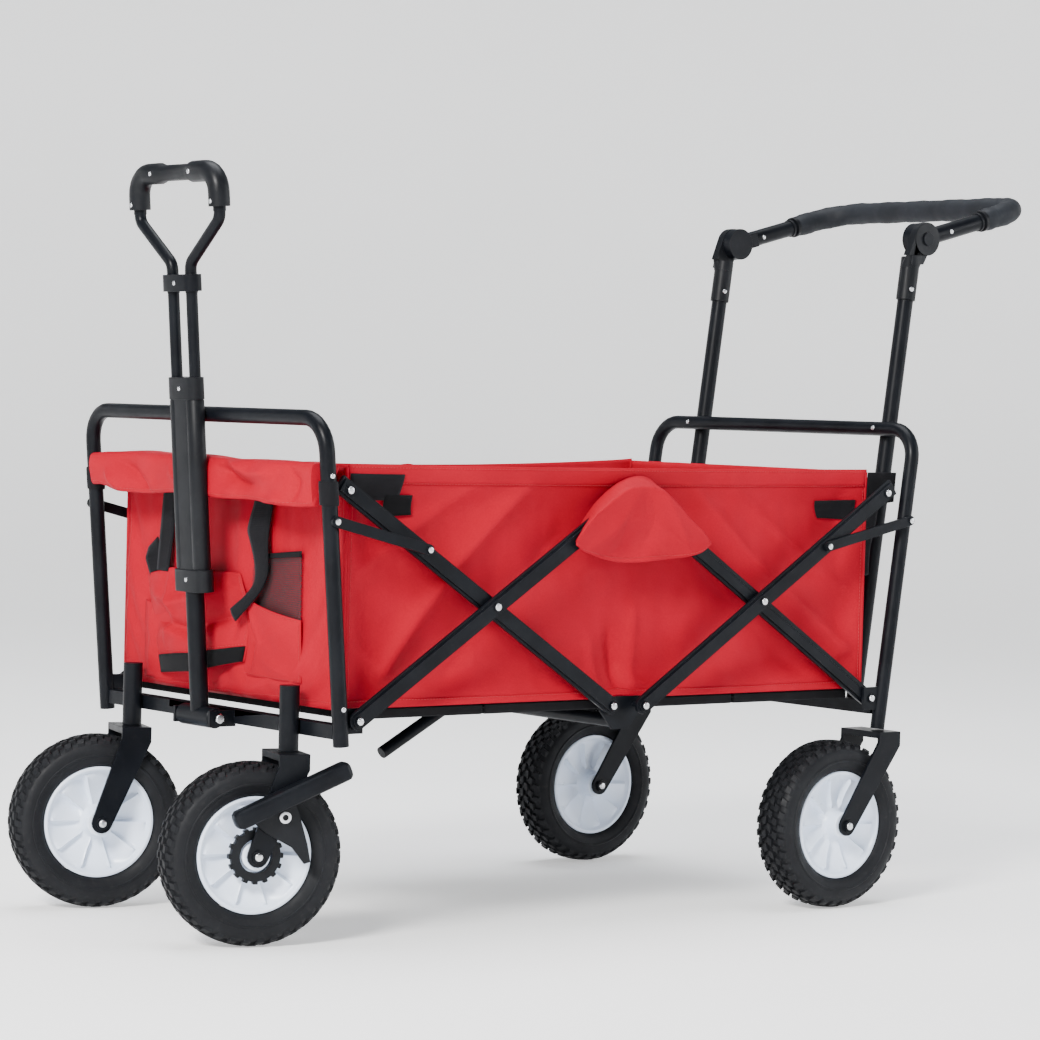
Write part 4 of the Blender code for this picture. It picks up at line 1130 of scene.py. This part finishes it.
def lug(angle, spread, low_y, high_y, base, top):
    """A tread block: four corners at the base, and four drawn in at the top; radii are for both sides."""
    points = []
    for (radius_low, radius_high), shrink in ((base, 1.0), (top, 0.80)):
        for y, radius, lean in ((low_y, radius_low, -1), (high_y, radius_high, 1)):
            inset = (1.0 - shrink) * (high_y - low_y) * 0.35
            for turn in (-1, 1):
                a = angle + turn * spread * shrink / 2 + lean * spread * 0.12
                points.append((radius * math.cos(a), y - lean * inset, radius * math.sin(a)))
    faces = [(0, 1, 3, 2), (4, 6, 7, 5), (0, 4, 5, 1), (2, 3, 7, 6), (0, 2, 6, 4), (1, 5, 7, 3)]
    return np.array(points), faces


def tyre_pile(matrix):
    pile = Pile()
    profile = TYRE_HALF_PROFILE + [(radius, -y) for radius, y in reversed(TYRE_HALF_PROFILE[:-1])]
    points, faces = lathe_closed(profile, 96)
    pile.add(points, faces, matrix)
    pitch = 2 * math.pi / LUGS
    for number in range(LUGS):
        for mirror in (1, -1):
            start = number * pitch + (0.5 * pitch if mirror > 0 else 0.0)
            for offset, spread, low_y, high_y, base, top in (
                (0.00, 0.66, 0.0010, 0.0078, (0.0966, 0.0966), (0.1014, 0.1012)),
                (0.50, 0.62, 0.0094, 0.0160, (0.0960, 0.0950), (0.1010, 0.1003)),
                (0.00, 0.58, 0.0172, 0.0238, (0.0945, 0.0900), (0.0994, 0.0958)),
            ):
                points, faces = lug(start + offset * pitch, spread * pitch, low_y, high_y, base, top)
                if mirror < 0:
                    points[:, 1] *= -1
                    faces = [tuple(reversed(face)) for face in faces]
                pile.add(points, faces, matrix)
    return pile


def petal(radius, y, angles):
    """Slanted petals between radial ridges in the dish of the rim."""
    place = (angles * PETALS / (2 * math.pi)) % 1.0
    inside = smooth_step((radius - 0.0200) / 0.006) * smooth_step((0.0575 - radius) / 0.004)
    slant = (place - 0.5) * 0.0080
    ridge = 0.0026 * np.exp(-((np.minimum(place, 1 - place) / 0.05) ** 2))
    return math.copysign(1.0, y) * inside * (slant + ridge)


def rim_pile(matrix):
    half = [
        (0.0520, 0.0040), (0.0645, 0.0120), (0.0648, 0.0196), (0.0636, 0.0204), (0.0618, 0.0206),
        (0.0606, 0.0200), (0.0598, 0.0186), (0.0586, 0.0168), (0.0574, 0.0158), (0.0540, 0.0142),
        (0.0480, 0.0120), (0.0400, 0.0098), (0.0320, 0.0086), (0.0250, 0.0088), (0.0205, 0.0100),
        (0.0180, 0.0124), (0.0168, 0.0160), (0.0162, 0.0220), (0.0156, 0.0274), (0.0146, 0.0286),
        (0.0110, 0.0290), (0.0055, 0.0290),
    ]
    profile = [(radius, -y) for radius, y in reversed(half[1:])] + half[1:]
    points, faces = lathe_closed(profile, 160, petal)
    return Pile().add(points, faces, matrix)


for end in ("front", "rear"):
    for side_name, side in SIDES:
        name = f"{end}_wheel_{side_name}"
        matrix = wheel_frame(end, side)
        tyre = tyre_pile(matrix).make(f"{name}_tyre_tread", RUBBER, 28.0)
        rim = rim_pile(matrix).make(f"{name}_rim_dish", WHITE_SKY_TINTED, 32.0)
        for obj, node, slot in ((tyre, f"{name}_tyre", "tyre_rubber"), (rim, f"{name}_rim", "white_plastic")):
            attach(obj, name)
            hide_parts(node)


# ---------------------------------------------------------------- rivets, nuts, brake and pull handle

FIXINGS = {}


def fixing(body, place, direction, profile, steps, closed=False):
    """Adds a turned shape to the fixings of a body, standing on a place with its axis in a direction."""
    matrix = Matrix.Translation(place) @ facing(direction)
    faces = ring_faces(len(profile), steps, closed)
    FIXINGS.setdefault(body, Pile()).add(lathe(profile, steps), faces, matrix)


def rivet(body, place, direction, radius, height):
    """A domed rivet head standing on a surface."""
    profile = [(radius, -0.0004), (radius * 0.98, height * 0.35), (radius * 0.80, height * 0.75),
               (radius * 0.48, height * 0.95), (radius * 0.02, height)]
    fixing(body, place, direction, profile, 20)


def hexagon(body, place, direction, radius, height):
    """A nut or bolt head with six sides and a turned edge."""
    profile = [(radius, -0.0003), (radius, height * 0.75), (radius * 0.86, height), (radius * 0.02, height)]
    fixing(body, place, direction, profile, 6)


def washer(body, place, direction, radius, height, hole):
    """A flat ring; hole is the share of its radius that is open."""
    profile = [(radius * hole, -0.0003), (radius, -0.0003), (radius, height * 0.7), (radius * 0.93, height),
               (radius * hole, height)]
    fixing(body, place, direction, profile, 28, closed=True)


# Distances from the middle of the wagon: the faces of the outer and inner bars and of the struts.
OUTER_FACE = 0.2526
INNER_FACE = 0.2419
STRUT_FACE = 0.2571
# What the CAD rivets stand proud of their bars; the domes here stand on top of them.
HEAD_TOP = 0.0018
BAR_RIVET = (0.0042, 0.0013)
STRUT_RIVET = (0.0036, 0.0011)
SMALL_RIVET = (0.0030, 0.0010)
HANDLE_Y = 0.1770
HANDLE_PIVOT = (0.5130, 0.8195)
SOCKET_SHIFT = 0.0190
for side_name, side in SIDES:
    out = (0, side, 0)
    y = side * (OUTER_FACE + HEAD_TOP)
    inner_y = side * (INNER_FACE + HEAD_TOP)
    for end_name, end in (("front", -1), ("rear", 1)):
        tie_y = inner_y if end < 0 else y
        tie_z = CROSSING_Z + SCISSOR_SLOPE * 0.1970
        rivet(f"{end_name}_tie_bars", (end * 0.3960, tie_y, tie_z), out, *BAR_RIVET)
        owner = "front_base_bars" if end < 0 else "rear_tie_bars"
        rivet(owner, (end * 0.1990, y, CROSSING_Z), out, *BAR_RIVET)
        strut_y = side * (STRUT_FACE + HEAD_TOP)
        post_x = front_post_x(0.4700) if end < 0 else rear_post_x(0.4700)
        for x, z in ((post_x, 0.4700), (end * 0.2980, CROSSING_Z + SCISSOR_SLOPE * 0.0990)):
            rivet(f"{end_name}_struts", (x, strut_y, z), out, *STRUT_RIVET)
    rivet("front_frame", (-0.3840, side * (OUTER_FACE + HEAD_TOP + 0.0003), 0.2525), out, *BAR_RIVET)
    rivet("rear_frame", (0.3840, side * (0.2462 + HEAD_TOP), 0.2525), out, *BAR_RIVET)
    for x, plane in ((-0.0196, INNER_FACE), (0.0196, OUTER_FACE)):
        rivet("bottom_link", (x, side * (plane + HEAD_TOP + 0.0003), VALLEY_Z), out, *BAR_RIVET)
    for z in (0.5190, 0.2660):
        rivet("front_frame", (front_post_x(z), side * OUTER_FACE, z), out, *SMALL_RIVET)
    post_rivet = (rear_post_x(0.5810) - 0.0087, side * HANDLE_Y, 0.5822)
    rivet("rear_frame", post_rivet, (-1, 0, 0.137), 0.0028, 0.0010)
    socket_rivet = (rear_post_x(0.7560) + SOCKET_SHIFT - 0.0030, side * HANDLE_Y - 0.0118, 0.7560)
    rivet("rear_frame", socket_rivet, (-0.25, -1, 0), 0.0030, 0.0011)
    arm_rivet = (HANDLE_PIVOT[0] + 0.0430, side * HANDLE_Y - 0.0104, HANDLE_PIVOT[1] + 0.0115)
    rivet("push_handle", arm_rivet, (0, -1, 0), 0.0028, 0.0010)

# How far the axles' ends are from the middle of a wheel.
AXLE_END = 0.0380
for end in ("front", "rear"):
    for side_name, side in SIDES:
        matrix = wheel_frame(end, side)
        body = f"caster_{side_name}" if end == "front" else "rear_frame"
        rotation = matrix.to_3x3()
        for out in (-1, 1):
            place = matrix @ Vector((0, out * AXLE_END, 0))
            direction = rotation @ Vector((0, out, 0))
            rivet(body, place, direction, 0.0046, 0.0020)

TEETH = 16
matrix = wheel_frame("front", -1)
teeth = Pile()
profile = [(0.0185, -0.0270), (0.0278, -0.0270), (0.0282, -0.0262), (0.0282, -0.0190), (0.0185, -0.0190)]
points, faces = lathe_closed(profile, 56)
teeth.add(points, faces, matrix)
for number in range(TEETH):
    angle = 2 * math.pi * number / TEETH
    turn = Matrix.Rotation(-angle, 4, "Y")
    teeth.add(*block((0.0268, -0.0268, -0.0028), (0.0312, -0.0192, 0.0028), 0.0007), matrix @ turn)
ring = teeth.make("brake_ring_teeth", PLASTIC, 35.0)
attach(ring, "front_wheel_left")
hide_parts("brake_ring")

BRAKE = Matrix.Translation((CASTER_STEM_X, -CASTER_STEM_Y, 0)) @ Matrix.Rotation(CASTER_TURN, 4, "Z")
brake_hub = BRAKE @ Vector((-0.0150, -0.0440, 0.1455))
washer("brake", brake_hub, BRAKE.to_3x3() @ Vector((0, -1, 0)), 0.0066, 0.0012, 0.52)

# The brake lever's slope, its middle, and its sections: how far along, and their share of the full size.
LEVER_COS, LEVER_SIN = 0.9155, 0.4025
LEVER_OUT, LEVER_Z = -0.0490, 0.1700
LEVER_HALF_WIDTH, LEVER_HALF_HEIGHT, LEVER_RISE = 0.0114, 0.0104, 0.0039
LEVER_SECTIONS = ((-0.0790, 0.45), (-0.0775, 0.75), (-0.0738, 0.97), (-0.0700, 1.0),
                  (0.0540, 1.0), (0.0580, 0.97), (0.0615, 0.75), (0.0630, 0.45))
lever_places = []
for along, share in LEVER_SECTIONS:
    for step in range(32):
        angle = 2 * math.pi * (step + 0.5) / 32
        size = (abs(math.cos(angle)) ** 5 + abs(math.sin(angle)) ** 5) ** (-1 / 5) * share
        across = LEVER_RISE + LEVER_HALF_HEIGHT * size * math.sin(angle)
        out = LEVER_OUT + LEVER_HALF_WIDTH * size * math.cos(angle)
        x = LEVER_COS * along - LEVER_SIN * across
        z = LEVER_Z + LEVER_SIN * along + LEVER_COS * across
        lever_places.append(BRAKE @ Vector((x, out, z)))
lever = Pile()
lever.add(*hull(lever_places))
lever_cover = lever.make("brake_lever_cover", COAT, 30.0)
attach(lever_cover, "brake")

PULL_X, PULL_Z = -0.4275, 0.2385
for side in (-1, 1):
    hexagon("front_frame", (PULL_X, side * 0.0402, PULL_Z), (0, side, 0), 0.0058, 0.0036)

PULL_LEAN = math.radians(4.26)
PULL = Matrix.Translation((PULL_X, 0.0, PULL_Z)) @ Matrix.Rotation(-PULL_LEAN, 4, "Y")
for body, y, height, forward in (
    ("pull_lower", 0.0, 0.1560, 0.0114),
    ("pull_lower", 0.0, 0.3720, 0.0104),
    ("pull_upper", 0.0, 0.4905, 0.0112),
    ("pull_upper", -0.0830, 0.5800, 0.0121),
    ("pull_upper", 0.0830, 0.5800, 0.0121),
    ("pull_upper", -0.0400, 0.6140, 0.0121),
    ("pull_upper", 0.0400, 0.6140, 0.0121),
):
    rivet(body, PULL @ Vector((-forward, y, height)), PULL.to_3x3() @ Vector((-1, 0, 0)), 0.0027, 0.0010)


def add_tube(pile, stops, radii, steps, matrix=None):
    points, faces = tube(stops, radii, steps)
    pile.add(points, faces, matrix)


necks = Pile()
for side in (-1, 1):
    for y, start, end, radius in ((0.0190, 0.4790, 0.4820, 0.0071), (0.0830, 0.5690, 0.5760, 0.0073)):
        add_tube(necks, [(0, side * y, start), (0, side * y, end)], radius, 24, PULL)
neck_rings = necks.make("pull_neck_rings", COAT, 40.0)
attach(neck_rings, "pull_upper")
lobes = Pile()
for y in (-0.0168, 0.0168):
    stops = [(0, y, z) for z in (0.1665, 0.1690, 0.3580, 0.3605)]
    points, faces = tube(stops, [0.0088, 0.0104, 0.0104, 0.0088], 32)
    # The sliding tubes pass through, so the two flat ends, which come last, are left out.
    lobes.add(points, faces[:-2], PULL)
sleeve_lobes = lobes.make("pull_sleeve_lobes", PLASTIC, 40.0)
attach(sleeve_lobes, "pull_lower")
barrel = Pile()
stops = [(0, y, 0) for y in (-0.0338, -0.0322, 0.0322, 0.0338)]
add_tube(barrel, stops, [0.0106, 0.0120, 0.0120, 0.0106], 32, PULL)
barrel_cover = barrel.make("pull_barrel_cover", COAT, 40.0)
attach(barrel_cover, "pull_lower")

for body, pile in FIXINGS.items():
    piece = pile.make(f"fixings_zinc_{body}", ZINC, 50.0)
    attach(piece, body)


# ---------------------------------------------------------------- foam and elbows of the push handle

PUSH_RISE = math.radians(15.0)
along = Vector((math.cos(PUSH_RISE), 0.0, math.sin(PUSH_RISE)))
legs = [Vector((HANDLE_PIVOT[0], side * HANDLE_Y, HANDLE_PIVOT[1])) for _, side in SIDES]
# The radius of the handle's bends, and, along its arms, how far it reaches and where the foam starts.
BEND = 0.0480
REACH = 0.1910
FOAM_START = 0.1088
half = []
for step in range(9):
    half.append(legs[0] + along * (FOAM_START + (REACH - BEND - FOAM_START) * step / 8))
centre = legs[0] + along * (REACH - BEND) + Vector((0, BEND, 0))
for step in range(1, 13):
    angle = math.pi / 2 * step / 12
    half.append(centre + along * (BEND * math.sin(angle)) - Vector((0, BEND * math.cos(angle), 0)))
far = [Vector((point.x, -point.y, point.z)) for point in reversed(half)]
path = half + [half[-1].lerp(far[0], step / 30) for step in range(1, 30)] + far
radii = []
for index in range(len(path)):
    swell = 0.0142 + 0.0004 * math.sin(index * 0.9) + 0.0003 * math.sin(index * 2.3)
    from_end = min(index, len(path) - 1 - index)
    radii.append(swell * min(1.0, 0.80 + 0.10 * from_end))
points, faces = tube(path, radii, 28)
foam = make_object("push_foam", points, faces, FOAM, None, 60.0)
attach(foam, "push_handle")
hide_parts("push_grip")
rings = Pile()
for leg in legs:
    for place, radius, width in ((0.1060, 0.0136, 0.0050), (0.1000, 0.0118, 0.0030)):
        centre = leg + along * place
        add_tube(rings, [centre, centre + along * width], radius, 28)
collar = rings.make("push_foam_rings", PLASTIC, 40.0)
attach(collar, "push_handle")


# The elbow sockets: a collar round the post's end runs into a round shell about the handle's pivot.
COLLAR_Z, COLLAR_RADIUS = 0.7840, 0.0126
THROAT_Z, THROAT_RADIUS = 0.7985, 0.0138
SHELL_RADIUS = 0.0209
SHELL_INNER_Y, SHELL_OUTER_Y = 0.1776, 0.1885
elbows = Pile()
for side in (-1, 1):
    low_x = rear_post_x(COLLAR_Z) + SOCKET_SHIFT
    neck_x = rear_post_x(THROAT_Z) + SOCKET_SHIFT
    ring = [(math.cos(2 * math.pi * step / 24), math.sin(2 * math.pi * step / 24)) for step in range(24)]
    neck = []
    for cos, sin in ring:
        neck.append((low_x + COLLAR_RADIUS * cos, side * HANDLE_Y + COLLAR_RADIUS * sin, COLLAR_Z))
        neck.append((neck_x + THROAT_RADIUS * cos, side * (0.1838 + 0.0058 * sin), THROAT_Z))
    elbows.add(*hull(neck))
    shell = []
    for out in (SHELL_INNER_Y, SHELL_OUTER_Y):
        for cos, sin in ring:
            x, z = HANDLE_PIVOT[0] + SHELL_RADIUS * cos, HANDLE_PIVOT[1] + SHELL_RADIUS * sin
            shell.append((x, side * out, z))
        for x in (neck_x - THROAT_RADIUS, neck_x + THROAT_RADIUS):
            shell.append((x, side * out, THROAT_Z))
    elbows.add(*hull(shell))
elbow_covers = elbows.make("push_socket_elbows", PLASTIC, 35.0)
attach(elbow_covers, "rear_frame")


# ---------------------------------------------------------------- straps on the posts

post = Pile()
for side in (-1, 1):
    ring_points = []
    for z, radius in ((0.4870, 0.0100), (0.4900, 0.0104), (0.5100, 0.0104), (0.5130, 0.0100)):
        for step in range(24):
            angle = 2 * math.pi * step / 24
            inward = 1.25 if math.sin(angle) * side < 0 else 1.0
            y = side * 0.2440 + radius * inward * math.sin(angle)
            ring_points.append((front_post_x(z) + radius * math.cos(angle), y, z))
    post.add(ring_points, ring_faces(4, 24))
loops = post.make("front_corner_straps", WEBBING, 60.0)
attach(loops, "front_frame")


# ---------------------------------------------------------------- finishes of the CAD nodes

SOFT_EDGES = {"brake_pedal": 0.0022, "front_fork_left": 0.0010, "front_fork_right": 0.0010}
slots = {entry["node"]: entry["material_slot"] for entry in frame["record"]["subparts"]}
for name, node in frame["nodes"].items():
    node.data.materials.clear()
    node.data.materials.append(CAD_FINISH[slots[name]])
    node.data.polygons.foreach_set("use_smooth", [True] * len(node.data.polygons))
    for flags in ("custom_normal", "sharp_edge"):
        if flags in node.data.attributes:
            node.data.attributes.remove(node.data.attributes[flags])
    weld = node.modifiers.new("weld", "WELD")
    weld.merge_threshold = 0.00001
    bevel = node.modifiers.new("soft_edges", "BEVEL")
    bevel.width = SOFT_EDGES.get(name, 0.0004)
    bevel.segments = 4 if name in SOFT_EDGES else 2
    bevel.limit_method = "ANGLE"
    bevel.angle_limit = math.radians(38.0)
    bevel.harden_normals = True


for piece in FOLDING:
    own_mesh(piece)


# ---------------------------------------------------------------- floor, light and camera


STAGE_STEPS = 72
STAGE_RINGS = ((2.0, 0.0), (5.4, 0.0), (6.2, 0.06), (6.9, 0.30), (7.4, 0.85), (7.6, 1.6), (7.7, 3.4))


def stage_plane():
    """A pale round floor that curves up into a low wall all the way round; the rings are (radius, height)."""
    points, faces = [], [tuple(range(STAGE_STEPS))]
    for ring, (radius, height) in enumerate(STAGE_RINGS):
        for step in range(STAGE_STEPS):
            angle = 2 * math.pi * step / STAGE_STEPS
            points.append((radius * math.cos(angle), radius * math.sin(angle), height))
            if ring:
                first = (ring - 1) * STAGE_STEPS + step
                after = (ring - 1) * STAGE_STEPS + (step + 1) % STAGE_STEPS
                faces.append((first, first + STAGE_STEPS, after + STAGE_STEPS, after))
    material, tree, shader = principled("pale_floor", 0.75)
    coords = add(tree, "TexCoord").outputs["Object"]
    tone = remap(tree, noise(tree, coords, 1.5, 3.0), 0.3, 0.7, 0.0, 1.0)
    colour = blend_colours(tree, tone, (0.88, 0.88, 0.88), (0.92, 0.92, 0.92))
    tree.links.new(colour, shader.inputs["Base Color"])
    shader.inputs["Emission Color"].default_value = (1.0, 1.0, 1.0, 1.0)
    shader.inputs["Emission Strength"].default_value = 0.48
    make_object("studio_floor", points, faces, material, None, 180.0)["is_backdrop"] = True


def area_light(name, place, target, size, power, colour):
    data = bpy.data.lights.new(name, "AREA")
    data.shape = "RECTANGLE"
    data.size, data.size_y = size
    data.energy = power
    data.color = colour
    light = bpy.data.objects.new(name, data)
    light.location = place
    light.rotation_mode = "QUATERNION"
    light.rotation_quaternion = (Vector(target) - Vector(place)).to_track_quat("-Z", "Y")
    bpy.context.scene.collection.objects.link(light)


stage_plane()
area_light("key", (-3.9, -2.0, 3.0), (0.0, 0.0, 0.35), (1.2, 1.2), 450.0, (1.0, 0.985, 0.96))
area_light("sky", (0.2, 0.4, 4.2), (0.0, 0.0, 0.3), (3.0, 3.0), 235.0, (0.95, 0.97, 1.0))
area_light("fill", (3.4, -2.4, 1.6), (0.1, 0.0, 0.4), (2.0, 2.0), 50.0, (0.95, 0.97, 1.0))

world = bpy.data.worlds.new("soft_daylight")
world.use_nodes = True
bpy.context.scene.world = world
background = world.node_tree.nodes["Background"]
background.inputs["Color"].default_value = (0.88, 0.93, 1.0, 1.0)
background.inputs["Strength"].default_value = 0.22

# The camera fitted to the photo: where it looks from, the place it aims at, how far off it is, and its lens.
AZIMUTH = math.radians(-37.8126)
ELEVATION = math.radians(2.0300)
ROLL = math.radians(1.4763)
AIM = (0.0252 + SHIFT_X, 0.0, 0.4601)
DISTANCE = 4.2470
LENS_MM = 121.264
back = Vector((math.sin(AZIMUTH) * math.cos(ELEVATION), -math.cos(AZIMUTH) * math.cos(ELEVATION),
               math.sin(ELEVATION)))
right = (-back).cross(Vector((0, 0, 1))).normalized()
up = right.cross(-back)
turned_right = right * math.cos(ROLL) + up * math.sin(ROLL)
turned_up = up * math.cos(ROLL) - right * math.sin(ROLL)
camera_data = bpy.data.cameras.new("camera")
camera_data.sensor_width = 36.0
camera_data.lens = LENS_MM
camera_data.clip_start, camera_data.clip_end = 0.05, 60.0
camera = bpy.data.objects.new("camera", camera_data)
matrix = Matrix((turned_right, turned_up, back)).transposed().to_4x4()
matrix.translation = Vector(AIM) + back * DISTANCE
camera.matrix_world = matrix
bpy.context.scene.collection.objects.link(camera)
bpy.context.scene.camera = camera

low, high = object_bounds()
